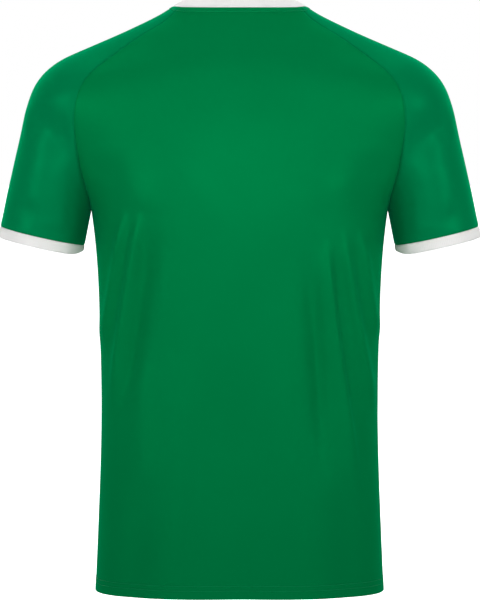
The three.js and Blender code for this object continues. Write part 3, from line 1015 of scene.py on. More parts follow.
# The sleeves' knit is the body's knit painted a little lighter and bluer: painted highlight for the brighter light on
# the shoulder tops. Its stronger sheen is the shader's own.
SLEEVE_KNIT_PAINTED_BRIGHTER = KnitFinish(
    name="sleeve_knit", colour=(0.0, 0.208, 0.07), deep=(0.0, 0.17, 0.053), sheen=0.35, **GREEN_GLOSS
)
RIB_KNIT = KnitFinish(
    name="rib_knit",
    colour=(0.9, 0.9, 0.885),
    deep=(0.82, 0.82, 0.805),
    wale=1.0,
    course=0.9,
    roughness=0.7,
    specular=0.2,
    specular_tint=(1, 1, 1),
    sheen=0.1,
    sheen_tint=(1, 1, 1),
    sheen_roughness=0.5,
    relief=0.04,
)
GREEN_THREAD = ThreadFinish("green_thread", (0.0, 0.34, 0.13), (0.0, 0.24, 0.08))


# --------------------------------------------------------------------------- repeated sewing


class Along(Enum):
    """What a sewing tree lays along its lines."""

    STITCHES = "stitches"
    CORDS = "cords"


@dataclass(frozen=True)
class SewingTree:
    """Geometry Nodes that turn lines into sewing: separate stitches, or unbroken threads and ribs."""

    kind: Along
    sides: int = 6

    def build(self) -> bpy.types.NodeTree:
        """Builds the tree.

        Returns:
            A tree with inputs for the line's thickness, the stitch's length, their spacing and the material.
        """
        tree = bpy.data.node_groups.new(f"{self.kind.value}_along_lines", "GeometryNodeTree")
        tree.interface.new_socket("Lines", in_out="INPUT", socket_type="NodeSocketGeometry")
        for name in ("Radius", "Length", "Spacing"):
            tree.interface.new_socket(name, in_out="INPUT", socket_type="NodeSocketFloat")
        tree.interface.new_socket("Finish", in_out="INPUT", socket_type="NodeSocketMaterial")
        tree.interface.new_socket("Sewing", in_out="OUTPUT", socket_type="NodeSocketGeometry")
        nodes = Nodes(tree)
        given = nodes.add("NodeGroupInput").outputs
        lines = nodes.add("GeometryNodeMeshToCurve", None, {"Mesh": given["Lines"]}).outputs["Curve"]
        if self.kind is Along.STITCHES:
            made = self.stitches(nodes, given, lines)
        else:
            made = self.cords(nodes, given, lines)
        real = nodes.add("GeometryNodeRealizeInstances", None, {"Geometry": made})
        dressed = nodes.add(
            "GeometryNodeSetMaterial", None, {"Geometry": real.outputs[0], "Material": given["Finish"]}
        )
        nodes.add("NodeGroupOutput", None, {"Sewing": dressed.outputs[0]})
        return tree

    def stitches(
        self, nodes: Nodes, given: bpy.types.NodeOutputs, lines: bpy.types.NodeSocket
    ) -> bpy.types.NodeSocket:
        """Lays a small capsule at each step along the lines, turned along them.

        Args:
            nodes: the tree.
            given: the tree's inputs.
            lines: the curves.

        Returns:
            The instances.
        """
        spaced = nodes.add(
            "GeometryNodeResampleCurve", {"mode": "LENGTH"}, {"Curve": lines, "Length": given["Spacing"]}
        )
        capsule = nodes.add("GeometryNodeMeshUVSphere", None, {"Segments": self.sides, "Rings": 4, "Radius": 1.0})
        size = nodes.add(
            "ShaderNodeCombineXYZ", None, {0: given["Radius"], 1: given["Radius"], 2: given["Length"]}
        )
        shaped = nodes.add(
            "GeometryNodeTransform", None, {"Geometry": capsule.outputs[0], "Scale": size.outputs[0]}
        )
        tangent = nodes.add("GeometryNodeInputTangent")
        turned = nodes.add(
            "FunctionNodeAlignRotationToVector", {"axis": "Z"}, {"Vector": tangent.outputs[0]}
        )
        placed = nodes.add(
            "GeometryNodeInstanceOnPoints",
            None,
            {"Points": spaced.outputs[0], "Instance": shaped.outputs[0], "Rotation": turned.outputs[0]},
        )
        return placed.outputs[0]

    def cords(
        self, nodes: Nodes, given: bpy.types.NodeOutputs, lines: bpy.types.NodeSocket
    ) -> bpy.types.NodeSocket:
        """Runs a round thread along each line and closes its ends.

        Args:
            nodes: the tree.
            given: the tree's inputs.
            lines: the curves.

        Returns:
            The threads.
        """
        profile = nodes.add(
            "GeometryNodeCurvePrimitiveCircle",
            {"mode": "RADIUS"},
            {"Resolution": self.sides, "Radius": given["Radius"]},
        )
        swept = nodes.add(
            "GeometryNodeCurveToMesh",
            None,
            {"Curve": lines, "Profile Curve": profile.outputs[0], "Fill Caps": True},
        )
        return swept.outputs[0]


@dataclass(frozen=True)
class Stitch:
    """The radius of a thread or rib, and the length and spacing of its stitches, in millimetres."""

    radius: float
    length: float = 1.0
    spacing: float = 1.0


HEM_STITCH = Stitch(0.24, 2.4, 3.0)
NECK_STITCH = Stitch(0.24, 2.2, 2.8)
INNER_THREAD = Stitch(0.16)


@dataclass
class Sewing:
    """Sewing along some lines, made by a tree and kept as a plain mesh."""

    name: str
    lines: list[np.ndarray]
    stitch: Stitch
    finish: bpy.types.Material
    tree: bpy.types.NodeTree

    def build(self) -> bpy.types.Object:
        """Runs the tree on the lines and keeps the result as a plain mesh.

        Returns:
            The new object, with no modifier left on it.
        """
        points = np.concatenate(self.lines)
        edges, start = [], 0
        for line in self.lines:
            index = np.arange(start, start + len(line))
            edges.append(np.stack([index[:-1], index[1:]], 1))
            start += len(line)
        mesh = bpy.data.meshes.new(f"{self.name}_lines")
        mesh.from_pydata(points.tolist(), np.concatenate(edges).tolist(), [])
        obj = bpy.data.objects.new(self.name, mesh)
        bpy.context.scene.collection.objects.link(obj)
        modifier = obj.modifiers.new("sewing", "NODES")
        modifier.node_group = self.tree
        stitch = self.stitch
        sizes = {"Radius": stitch.radius * MM, "Length": stitch.length / 2 * MM, "Spacing": stitch.spacing * MM}
        for item in self.tree.interface.items_tree:
            if item.item_type == "SOCKET" and item.in_out == "INPUT" and item.name in sizes:
                modifier[item.identifier] = sizes[item.name]
            if item.item_type == "SOCKET" and item.name == "Finish":
                modifier[item.identifier] = self.finish
        depsgraph = bpy.context.evaluated_depsgraph_get()
        plain = bpy.data.meshes.new_from_object(obj.evaluated_get(depsgraph), depsgraph=depsgraph)
        obj.modifiers.clear()
        obj.data = plain
        plain.name = self.name
        plain.shade_smooth()
        if not plain.materials:
            plain.materials.append(self.finish)
        return obj


# --------------------------------------------------------------------------- cut pieces


@dataclass
class Cutting:
    """How closely the pieces are divided, and the row and column positions that they share."""

    rows_a_section: int = 5
    rows_below: int = 84
    sleeve_half: int = 44
    arm_rows: int = 11
    neck_rows: tuple[float, ...] = (
        0, 0.03, 0.06, 0.1, 0.15, 0.21, 0.25, 0.275, 0.295, 0.315, 0.335, 0.355, 0.375, 0.4,
        0.43, 0.5, 0.6, 0.72, 0.86,
    )
    late_stations: tuple[float, ...] = (12, 12.6, 13.15, 13.55, 13.83, 14)
    hem_steps: tuple[float, ...] = (
        20.4, 19.2, 18.3, 17.9, 17.3, 16.9, 16.5, 16.1, 15.7, 15, 14, 13, 12, 11.5, 11.1, 10.7, 10.3, 9.9, 9.3, 8.2,
        6.6, 5, 3.6, 2.5, 1.7, 1.1, 0.65, 0.3, 0.1, 0,
    )
    last_even_row: float = 21.5
    topstitch_row: float = 0.315
    groove_row: float = 0.365
    edge_rise: float = 0.25
    ridge_rise: float = 0.3
    groove_sink: float = 0.35
    line_width: float = 0.03

    def stations(self) -> np.ndarray:
        """Divides the part above the underarm.

        Returns:
            The row numbers from the neckline to the underarm.
        """
        rows = list(self.neck_rows)
        for start in range(1, 12):
            rows.extend(np.linspace(start, start + 1, self.rows_a_section, endpoint=False))
        for start, stop in zip(self.late_stations, self.late_stations[1:]):
            rows.extend(np.linspace(start, stop, 3, endpoint=False))
        return np.array([*rows, UNDERARM_ROW])

    def levels(self) -> np.ndarray:
        """Divides the torso below the underarm.

        Returns:
            The heights of its rows at the side seams, in millimetres.
        """
        start, stop = SLEEVE[-1].seam_z, -HEM_BELOW + self.last_even_row
        share = (np.arange(1, self.rows_below + 1) / self.rows_below) ** CROWDING_BELOW_UNDERARM
        return np.concatenate([mix(start, stop, share), -HEM_BELOW + np.array(self.hem_steps)])

    def above_hem(self) -> np.ndarray:
        """Returns how far each torso row lies over the hem, in millimetres; a far height above the underarm."""
        return np.concatenate([np.full(len(self.stations()), FAR_FROM_HEM), self.levels() + HEM_BELOW])

    def panel_steps(self, side: Side) -> np.ndarray:
        """Returns the shares across half a panel, closest where the back's sharp folds are."""
        return closer_steps((18, 70, 10), (0.36, 0.84, 1)) if side is Side.BACK else edge_steps(58)

    def neck_edge(self, rows: np.ndarray) -> np.ndarray:
        """Works out the doubled edge at the neck and its topstitched line.

        Args:
            rows: the row numbers.

        Returns:
            The height over the cloth at each row, in metres.
        """
        band = smoothstep((self.groove_row - rows) / 0.05) * smoothstep((rows - 0.05) / 0.1)
        ridge = np.exp(-(((rows - self.topstitch_row) / self.line_width) ** 2))
        groove = np.exp(-(((rows - self.groove_row) / self.line_width) ** 2))
        return (self.edge_rise * band + self.ridge_rise * ridge - self.groove_sink * groove) * MM

    def arm_shares(self) -> np.ndarray:
        """Returns the shares of the sleeve's rows below the underarm, closer at the cuff seam."""
        share = (np.arange(1, self.arm_rows + 1) / self.arm_rows) ** 1.1
        return np.sort(np.concatenate([share, [0.955, 0.975, 0.99]]))


@dataclass
class Panel:
    """The back or the front of the shirt."""

    side: Side
    node: str
    name: str
    folds: list[Fold]
    neck_drop: float
    neck_oval: float
    flat: tuple[float, float]
    area: float
    cutting: Cutting
    hem_stitch_lines: tuple[float, float] = (16.5, 10.7)
    loop_spacing: float = 2.8
    loop_lift: float = 0.12
    stitch_sink: float = 0.4
    stitch_groove: float = 0.7
    turned_rise: float = 0.35
    wave_height: float = 0.3
    pucker_height: float = 0.07
    pucker_middle: float = 12.0
    pucker_reach: float = 11.0
    cloth: Cloth | None = None

    def form(self) -> Cloth:
        """Works the panel out from the shared sizes and adds its folds.

        Returns:
            The panel's cloth.
        """
        steps = self.cutting.panel_steps(self.side)
        stations, levels = self.cutting.stations(), self.cutting.levels()
        seams = [sleeve_halves(row, np.array([0.0, 1.0]))[self.side][-1] for row in stations]
        neck, underarm = seams[0], seams[-1]
        rows = []
        for row, seam in zip(stations, seams):
            opening = self.neck_oval * smoothstep(1 - row / NECK_OVAL_GONE_AT_ROW)
            closed = opening + smoothstep((row - OVAL_STARTS_AT_ROW) / (UNDERARM_ROW - OVAL_STARTS_AT_ROW))
            down = (seam[2] - neck[2]) / (underarm[2] - neck[2])
            middle = seam[2] - self.neck_drop * (1 - down)
            rows.append(torso_row(seam, self.side, float(closed), middle, steps))
        for z in levels:
            rise = HEM_RISE * smoothstep((-HEM_BELOW + HEM_TURN + HEM_RISE_EASE - z) / HEM_RISE_EASE)
            end = np.array([float(TORSO_AT["half_width"](-z)), 0.0, z])
            rows.append(torso_row(end, self.side, 1.0, z + float(rise), steps))
        above_hem = self.cutting.above_hem()
        wall = np.where(above_hem < HEM_TURN + 0.1, 2 * CLOTH, CLOTH)
        cloth = Cloth(self.name, np.array(rows) * MM, (0, self.side.value, 0), wall)
        self.fold(cloth, above_hem)
        self.cloth = cloth
        return cloth

    def fold(self, cloth: Cloth, above_hem: np.ndarray) -> None:
        """Lifts the cloth by its folds and by the slight waves of worn knit, fading towards its seams.

        Args:
            cloth: the panel's cloth.
            above_hem: how far each row lies over the hem, in millimetres.
        """
        across = np.minimum(cloth.distance(Edge.FIRST), cloth.distance(Edge.LAST))
        fade = smoothstep(across / (26 * MM)) * smoothstep(cloth.distance(Edge.TOP) / (30 * MM))
        heights = fold_heights(self.folds, cloth.outer) * fade
        x, z = cloth.outer[..., 0] / MM, cloth.outer[..., 2] / MM
        turn = 0.0 if self.side is Side.BACK else 2.1
        waves = np.sin(x / 31 + z / 67 + turn) * np.sin(z / 49 - x / 83 + 1.3 + turn)
        waves += 0.5 * np.sin(x / 17 - z / 41 + 0.7 + turn) * np.sin(z / 29 + x / 53 + turn)
        heights += self.wave_height * MM * waves * fade
        pucker = np.sin(x / 5.3 + 1.7 * np.sin(x / 23)) * (0.6 + 0.4 * np.sin(x / 41 + turn))
        near_hem = np.exp(-(((above_hem - self.pucker_middle) / self.pucker_reach) ** 2))[:, None]
        heights += self.pucker_height * MM * pucker * near_hem * smoothstep(across / (12 * MM))
        cloth.lift(heights)

    def sew_edges(self) -> None:
        """Dips the sewn edges, sinks the stitch lines and rounds the turned hem."""
        cloth, stations, above_hem = self.cloth, self.cutting.stations(), self.cutting.above_hem()
        rows = np.concatenate([stations, np.full(len(above_hem) - len(stations), FAR_FROM_NECK)])
        along = self.cutting.neck_edge(rows)
        for line in self.hem_stitch_lines:
            along -= self.stitch_sink * MM * np.exp(-(((above_hem - line) / self.stitch_groove) ** 2))
        along += self.turned_rise * MM * smoothstep((HEM_TURN + 0.2 - above_hem) / 0.6)
        edge = np.minimum(above_hem, CLOTH)
        along -= (CLOTH - np.sqrt(np.maximum(0, CLOTH**2 - (CLOTH - edge) ** 2))) * MM
        cloth.lift(cloth.dips((Edge.TOP, Edge.FIRST, Edge.LAST)) + along[:, None])
        for edge_name in (Edge.TOP, Edge.FIRST, Edge.LAST):
            cloth.open_seam(edge_name)

    def topstitch(self) -> np.ndarray:
        """Returns the line of the neckline's topstitching on this panel, just over the cloth."""
        row = int(np.argmin(np.abs(self.cutting.stations() - self.cutting.topstitch_row)))
        return (self.cloth.outer + self.cloth.normals() * THREAD_LIFT * MM)[row]

    def hem_lines(self) -> list[np.ndarray]:
        """Finds the two lines of the hem's twin-needle stitching.

        Returns:
            The lines, just over the cloth.
        """
        above = self.cutting.levels() + HEM_BELOW
        lifted = self.cloth.outer + self.cloth.normals() * THREAD_LIFT * MM
        start = len(self.cutting.stations())
        return [lifted[start + int(np.argmin(np.abs(above - line)))] for line in self.hem_stitch_lines]

    def hem_threads(self) -> list[np.ndarray]:
        """Lays the zigzag thread that crosses between the two stitch lines inside the hem.

        Returns:
            One line, just over the inner face.
        """
        inner = self.cloth.inner() - self.cloth.normals() * self.loop_lift * MM
        start, above = len(self.cutting.stations()), self.cutting.levels() + HEM_BELOW
        high, low = (inner[start + int(np.argmin(np.abs(above - line)))] for line in self.hem_stitch_lines)
        ups, downs = (even_points(line, self.loop_spacing * MM) for line in (high, low))
        count = min(len(ups), len(downs))
        zigzag = np.empty((2 * count, 3))
        zigzag[0::2], zigzag[1::2] = ups[:count], downs[:count]
        return [zigzag]


def even_points(line: np.ndarray, spacing: float) -> np.ndarray:
    """Returns points at an even spacing along a line."""
    run = run_of(line)
    return points_at(line, run, np.linspace(0, run[-1], max(2, int(round(run[-1] / spacing)))))


@dataclass
class RaglanSleeve:
    """One raglan sleeve, cut in one from the neckline to the cuff seam."""

    node: str
    name: str
    mirrored: bool
    cutting: Cutting
    flat: tuple[float, float] = (0.352, 0.386)
    area: float = 0.0743
    right_shift: float = 6.0
    wave_height: float = 0.3
    cloth: Cloth | None = None

    def form(self) -> Cloth:
        """Works the sleeve out from the shared sizes and adds its folds.

        Returns:
            The sleeve's cloth.
        """
        steps = edge_steps(self.cutting.sleeve_half)
        rows = [whole_row(sleeve_halves(row, steps)) for row in self.cutting.stations()]
        rows += [whole_row(arm_halves(share, steps)) for share in self.cutting.arm_shares()]
        points = np.array(rows) * MM
        wall = np.full(len(rows), CLOTH)
        cloth = Cloth(self.name, points, (1, 0, 0.3), wall)
        self.fold(cloth)
        if self.mirrored:
            cloth.outer = cloth.outer * (-1, 1, 1)
            cloth.outward = (-1, 0, 0.3)
        self.cloth = cloth
        return cloth

    def fold(self, cloth: Cloth) -> None:
        """Lifts the cloth by its folds, a little differently on the two arms.

        Args:
            cloth: the sleeve's cloth, before it is mirrored.
        """
        shift = self.right_shift if self.mirrored else 0.0
        points = cloth.outer + (0, 0, shift * MM)
        across = np.minimum(cloth.distance(Edge.FIRST), cloth.distance(Edge.LAST))
        fade = smoothstep(across / (18 * MM)) * smoothstep(cloth.distance(Edge.BOTTOM) / (12 * MM))
        behind = smoothstep(cloth.outer[..., 1] / (18 * MM))
        before = smoothstep(-cloth.outer[..., 1] / (18 * MM))
        heights = fold_heights(SLEEVE_BACK_FOLDS, points) * behind + fold_heights(SLEEVE_FRONT_FOLDS, points) * before
        x, z = points[..., 0] / MM, points[..., 2] / MM
        waves = np.sin(x / 19 + z / 37 + shift) * np.sin(z / 31 - x / 47 + 0.9)
        rows = np.arange(len(cloth.outer)) / len(cloth.outer)
        heights += self.wave_height * MM * waves * smoothstep(rows / 0.4)[:, None]
        cloth.lift(heights * fade)

    def sew_edges(self) -> None:
        """Dips the sewn edges and works the topstitched line at the neck."""
        stations = self.cutting.stations()
        rows = np.concatenate([stations, np.full(len(self.cloth.outer) - len(stations), FAR_FROM_NECK)])
        self.cloth.lift(self.cloth.dips(list(Edge)) + self.cutting.neck_edge(rows)[:, None])
        for edge in Edge:
            self.cloth.open_seam(edge)

    def topstitch(self) -> np.ndarray:
        """Returns the line of the neckline's topstitching on this sleeve, just over the cloth."""
        row = int(np.argmin(np.abs(self.cutting.stations() - self.cutting.topstitch_row)))
        return (self.cloth.outer + self.cloth.normals() * THREAD_LIFT * MM)[row]


@dataclass
class RibBand:
    """A ribbed band sewn to an edge: the collar or a cuff."""

    node: str
    name: str
    flat: tuple[float, float]
    area: float | None = None
    thinnest: float = 0.25
    rib_pitch: float = 2.3
    rib_radius: float = 0.62
    rib_shows: float = 0.22
    row_shares: tuple[float, ...] = (0, 0.03, 0.07, 0.13, 0.22, 0.34, 0.47, 0.6, 0.73, 0.84, 0.91, 0.95, 0.98, 1)
    cloth: Cloth | None = None

    def make(self, seam: np.ndarray, top: np.ndarray, outward: tuple[float, float, float]) -> Cloth:
        """Makes the band between its seam and its folded edge.

        Args:
            seam: the ring of points where it is sewn.
            top: the ring at its folded edge, in the same order.
            outward: the way that the middle of the ring faces.

        Returns:
            The band's cloth.
        """
        shares = np.array(self.row_shares)[:, None, None]
        points = mix(seam[None], top[None], shares)
        self.cloth = Cloth(self.name, points, outward, np.full(len(points), RIB), ring=True)
        self.cloth.seam_normals()
        return self.cloth

    def sew_edges(self) -> None:
        """Dips the seam and rounds the folded edge."""
        cloth = self.cloth
        from_fold = cloth.distance(Edge.BOTTOM).mean(axis=1) / MM
        near = np.minimum(from_fold, RIB / 2)
        rounding = RIB / 2 - np.sqrt(np.maximum(0, (RIB / 2) ** 2 - (RIB / 2 - near) ** 2))
        cloth.wall = np.maximum(RIB - 2 * rounding, self.thinnest)
        cloth.lift(cloth.dips((Edge.TOP,)) - rounding[:, None] * MM)
        cloth.open_seam(Edge.TOP)

    def rib_lines(self) -> list[np.ndarray]:
        """Lays the lines of the ribs, over the outside and the inside of the band.

        Returns:
            The lines, set into the band so far that only the rounded ribs show.
        """
        lines = []
        buried = (self.rib_radius - self.rib_shows) * MM
        normals = self.cloth.normals()
        outside = self.cloth.outer - normals * buried
        inside = self.cloth.inner() + normals * buried
        for grid in (outside[1:], inside[1:]):
            rings = [self.even_ring(ring) for ring in grid]
            lines.extend(np.array(rings).transpose(1, 0, 2))
        return lines

    def even_ring(self, ring: np.ndarray) -> np.ndarray:
        """Spaces points round a ring, one for each of the band's ribs.

        Args:
            ring: the ring's points.

        Returns:
            The points, from the same start.
        """
        closed = np.concatenate([ring, ring[:1]])
        run = run_of(closed)
        count = int(round(self.flat[0] / (self.rib_pitch * MM)))
        return points_at(closed, run, np.arange(count) / count * run[-1])


@dataclass(frozen=True)
class Lean:
    """How far the collar's top edge rises over the neckline and leans inwards, in millimetres."""

    rise: float
    inward: float


LEAN_BEHIND, LEAN_BEFORE, LEAN_BESIDE = Lean(15.0, 7.0), Lean(12.0, 11.0), Lean(8.5, 15.5)


def neck_lean(point: np.ndarray) -> np.ndarray:
    """Works out where the collar's top lies over the neckline.

    Args:
        point: a point of the neckline.

    Returns:
        The way from it to the collar's top, in millimetres.
    """
    inward = unit(np.array([-point[0], -point[1], 0.0]))
    side = abs(inward[0]) ** 1.5
    middle = LEAN_BEHIND if point[1] > 0 else LEAN_BEFORE
    rise, reach = mix(middle.rise, LEAN_BESIDE.rise, side), mix(middle.inward, LEAN_BESIDE.inward, side)
    return inward * reach + (0, 0, rise)


def seam_strip(
    name: str, sides: list[tuple[Cloth, Edge, slice]], width: float = 4.2, depth: float = 0.12, wall: float = 0.8
) -> Cloth:
    """Makes the overlocked seam allowance that lies flat inside a seam.

    Args:
        name: the strip's name.
        sides: the two pieces that meet, each with its edge and the part of it that is sewn.
        width: how far the strip reaches to each side, in millimetres.
        depth: how far it lies under the wall.
        wall: its thickness.

    Returns:
        The strip's cloth.
    """
    halves = []
    for cloth, edge, part in sides:
        inner, normals = cloth.inner(), cloth.normals()
        grid = (inner - normals * depth * MM).copy()
        if edge in (Edge.TOP, Edge.BOTTOM):
            grid = grid.transpose(1, 0, 2)
        if edge in (Edge.LAST, Edge.BOTTOM):
            grid = grid[:, ::-1]
        lines = []
        for line in grid[part]:
            lines.append(points_at(line, run_of(line), np.array([0.25, 0.5, 0.75, 1.0]) * width * MM))
        halves.append(np.array(lines))
    points = np.concatenate([halves[0][:, ::-1], halves[1]], axis=1)
    cloth, edge, part = sides[0]
    facing = cloth.edge_points(edge, cloth.normals())[part]
    toward = facing[len(facing) // 2]
    return Cloth(name, points, tuple(toward), np.full(len(points), wall))


def overlock_lines(strip: Cloth, spacing: float = 2.6) -> list[np.ndarray]:
    """Lays the overlock thread's crossings over a strip's inner face, slanting a little.

    Args:
        strip: the seam strip.
        spacing: the distance between crossings, in millimetres.

    Returns:
        One line for each crossing.
    """
    inner = strip.inner() - strip.normals() * THREAD_LIFT * MM
    run = run_of(inner[:, 4])
    count = int(run[-1] / (spacing * MM))
    slant = np.linspace(0, 1.1, 4)
    lines = []
    for k in range(1, count):
        at = (k * spacing + slant) * MM
        lines.append(np.array([points_at(inner[:, column], run, place) for column, place in zip((0, 2, 4, 6), at)]))
    return lines


# --------------------------------------------------------------------------- the whole shirt


@dataclass
class Jersey:
    """The whole shirt: its cut pieces and the sewing that joins them."""

    cutting: Cutting = field(default_factory=Cutting)
    back: Panel = field(init=False)
    front: Panel = field(init=False)
    left: RaglanSleeve = field(init=False)
    right: RaglanSleeve = field(init=False)
    collar: RibBand = field(init=False)
    cut: tuple[Panel | RaglanSleeve, ...] = ()
    cuffs: list[RibBand] = field(default_factory=list)
    finishes: dict[str, bpy.types.Material] = field(default_factory=dict)
    shells: dict[str, bpy.types.Object] = field(default_factory=dict)
    extras: dict[str, list[bpy.types.Object]] = field(default_factory=dict)

    def form_pieces(self) -> None:
        """Works out the back, the front and the sleeves."""
        self.back = Panel(
            side=Side.BACK,
            node="back_panel",
            name="back_cloth",
            folds=BACK_FOLDS,
            neck_drop=BACK_NECK_DROP,
            neck_oval=BACK_NECK_OVAL,
            flat=(0.508, 0.73),
            area=0.3226,
            cutting=self.cutting,
        )
        self.front = Panel(
            side=Side.FRONT,
            node="front_panel",
            name="front_cloth",
            folds=FRONT_FOLDS,
            neck_drop=FRONT_NECK_DROP,
            neck_oval=FRONT_NECK_OVAL,
            flat=(0.516, 0.722),
            area=0.3078,
            cutting=self.cutting,
        )
        self.left = RaglanSleeve("sleeve_left", "left_sleeve_cloth", False, self.cutting)
        self.right = RaglanSleeve("sleeve_right", "right_sleeve_cloth", True, self.cutting)
        self.cut = (self.back, self.front, self.left, self.right)
        for piece in self.cut:
            piece.form().seam_normals()

    def meet(self) -> None:
        """Lets the pieces share normals along their seams, then works the seams and edges of each."""
        underarm = len(self.cutting.stations())
        sewn, rest = slice(0, underarm), slice(underarm - 1, None)
        for panel, sleeve_edge in ((self.back, Edge.FIRST), (self.front, Edge.LAST)):
            join(panel.cloth, Edge.FIRST, self.left.cloth, sleeve_edge, sewn, sewn)
            join(panel.cloth, Edge.LAST, self.right.cloth, sleeve_edge, sewn, sewn)
        for edge in (Edge.FIRST, Edge.LAST):
            join(self.back.cloth, edge, self.front.cloth, edge, rest, rest)
        for arm in (self.left, self.right):
            join(arm.cloth, Edge.FIRST, arm.cloth, Edge.LAST, rest, rest)
        join_to_band([piece.cloth for piece in self.cut], Edge.TOP, self.collar.cloth)
        for arm, cuff in zip((self.left, self.right), self.cuffs):
            join_to_band([arm.cloth], Edge.BOTTOM, cuff.cloth)
        for piece in self.cut:
            piece.cloth.meet_corners()
        for piece in (*self.cut, self.collar, *self.cuffs):
            piece.sew_edges()

    def neckline(self) -> np.ndarray:
        """Works out the ring of the neckline before its seam dips.

        Returns:
            Evenly spaced points, in millimetres.
        """
        steps = edge_steps(40)
        halves = sleeve_halves(0, steps)
        left = whole_row(halves)
        right = left * (-1, 1, 1)
        back = self.plain_neck(Side.BACK, BACK_NECK_DROP, BACK_NECK_OVAL, steps)
        front = self.plain_neck(Side.FRONT, FRONT_NECK_DROP, FRONT_NECK_OVAL, steps)
        ring = np.concatenate([back, right[1:], front[::-1][1:], left[::-1][1:-1]])
        closed = np.concatenate([ring, ring[:1]])
        run = run_of(closed)
        return points_at(closed, run, np.linspace(0, run[-1], NECK_POINTS + 1)[:-1])

    def plain_neck(self, side: Side, drop: float, oval: float, steps: np.ndarray) -> np.ndarray:
        """Returns the neckline across one panel."""
        seam = sleeve_halves(0, np.array([0.0, 1.0]))[side][-1]
        return torso_row(seam, side, oval, seam[2] - drop, steps)

    def form_bands(self) -> None:
        """Works out the collar and the cuffs."""
        neck = self.neckline()
        top = neck + np.array([neck_lean(point) for point in neck])
        self.collar = RibBand("collar", "collar_band", (0.574, 0.0168))
        half = len(neck) // 2
        self.collar.make(neck * MM, top * MM, tuple(unit(neck[half] * (1, 1, 0))))
        steps = edge_steps(70, (0.5,))
        ring = whole_row(arm_halves(1.0, steps))[:-1]
        inside = np.maximum(0, -np.cos(np.concatenate([-steps[:0:-1], steps[:-1]]) * math.pi)) ** CUFF_CORNER_POWER
        heights = CUFF_HEIGHT * (1 - CUFF_SHORTER_INSIDE * inside)
        for side, sign in (("left", 1), ("right", -1)):
            seam = ring * (sign, 1, 1)
            end = seam + ARM_DOWN * (sign, 1, 1) * heights[:, None]
            cuff = RibBand(f"cuff_{side}", f"{side}_cuff_band", (0.346, CUFF_HEIGHT * MM))
            cuff.make(seam * MM, end * MM, (sign, 0, 0.2))
            self.cuffs.append(cuff)

    def dress(self) -> None:
        """Makes the objects of the cut pieces, with their finishes."""
        self.finishes = {
            "body": BODY_KNIT.material(),
            "sleeve": SLEEVE_KNIT_PAINTED_BRIGHTER.material(),
            "rib": RIB_KNIT.material(),
            "green_thread": GREEN_THREAD.material(),
        }
        for piece, finish in (
            (self.back, "body"),
            (self.front, "body"),
            (self.left, "sleeve"),
            (self.right, "sleeve"),
            (self.collar, "rib"),
            (self.cuffs[0], "rib"),
            (self.cuffs[1], "rib"),
        ):
            self.shells[piece.node] = piece.cloth.shell(self.finishes[finish])
            LOG.info("%s: %d faces", piece.name, len(self.shells[piece.node].data.polygons))

    def sew(self) -> None:
        """Makes the sewing: seam allowances, overlocking, topstitching, hem stitching and the bands' ribs."""
        stitches, cords = SewingTree(Along.STITCHES).build(), SewingTree(Along.CORDS, 5).build()
        green = self.finishes["green_thread"]
        underarm = len(self.cutting.stations())
        sewn, rest = slice(0, underarm), slice(underarm - 1, None)
        self.extras = {node: [] for node in self.shells}
        strips = []
        for panel, sleeve_edge in ((self.back, Edge.FIRST), (self.front, Edge.LAST)):
            for edge, arm in ((Edge.FIRST, self.left), (Edge.LAST, self.right)):
                name = f"{arm.node}_{panel.side.name.lower()}_seam"
                strips.append((arm, seam_strip(name, [(panel.cloth, edge, sewn), (arm.cloth, sleeve_edge, sewn)])))
        for edge, label in ((Edge.FIRST, "left"), (Edge.LAST, "right")):
            sides = [(self.back.cloth, edge, rest), (self.front.cloth, edge, rest)]
            strips.append((self.back, seam_strip(f"{label}_side_seam", sides)))
        for arm in (self.left, self.right):
            sides = [(arm.cloth, Edge.FIRST, rest), (arm.cloth, Edge.LAST, rest)]
            strips.append((arm, seam_strip(f"{arm.node}_underarm_seam", sides)))
        for owner, strip in strips:
            finish = "body" if owner is self.back else "sleeve"
            self.extras[owner.node].append(strip.shell(self.finishes[finish]))
            thread = Sewing(f"{strip.name}_overlock", overlock_lines(strip), INNER_THREAD, green, cords)
            self.extras[owner.node].append(thread.build())
        for panel in (self.back, self.front):
            name = panel.side.name.lower()
            hem = Sewing(f"{name}_hem_stitches", panel.hem_lines(), HEM_STITCH, green, stitches)
            inside = Sewing(f"{name}_hem_loops", panel.hem_threads(), INNER_THREAD, green, cords)
            self.extras[panel.node] += [hem.build(), inside.build()]
        for piece in (self.back, self.front, self.left, self.right):
            line = Sewing(f"{piece.name}_neck_stitches", [piece.topstitch()], NECK_STITCH, green, stitches)
            self.extras[piece.node].append(line.build())
        for band in (self.collar, *self.cuffs):
            rib = Stitch(band.rib_radius)
            ribs = Sewing(f"{band.name}_ribs", band.rib_lines(), rib, self.finishes["rib"], cords)
            self.extras[band.node].append(ribs.build())
        for node, pieces in self.extras.items():
            for piece in pieces:
                LOG.info("%s on %s: %d faces", piece.name, node, len(piece.data.polygons))

    def declare(self) -> None:
        """Hangs every part of each piece on the root body and hides the solid that it replaces."""
        pieces = (self.back, self.front, self.left, self.right, self.collar, *self.cuffs)
        for piece in pieces:
            shell, extras = self.shells[piece.node], self.extras[piece.node]
            for part in (shell, *extras):
                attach(part, "root")
            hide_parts(piece.node)


# --------------------------------------------------------------------------- studio


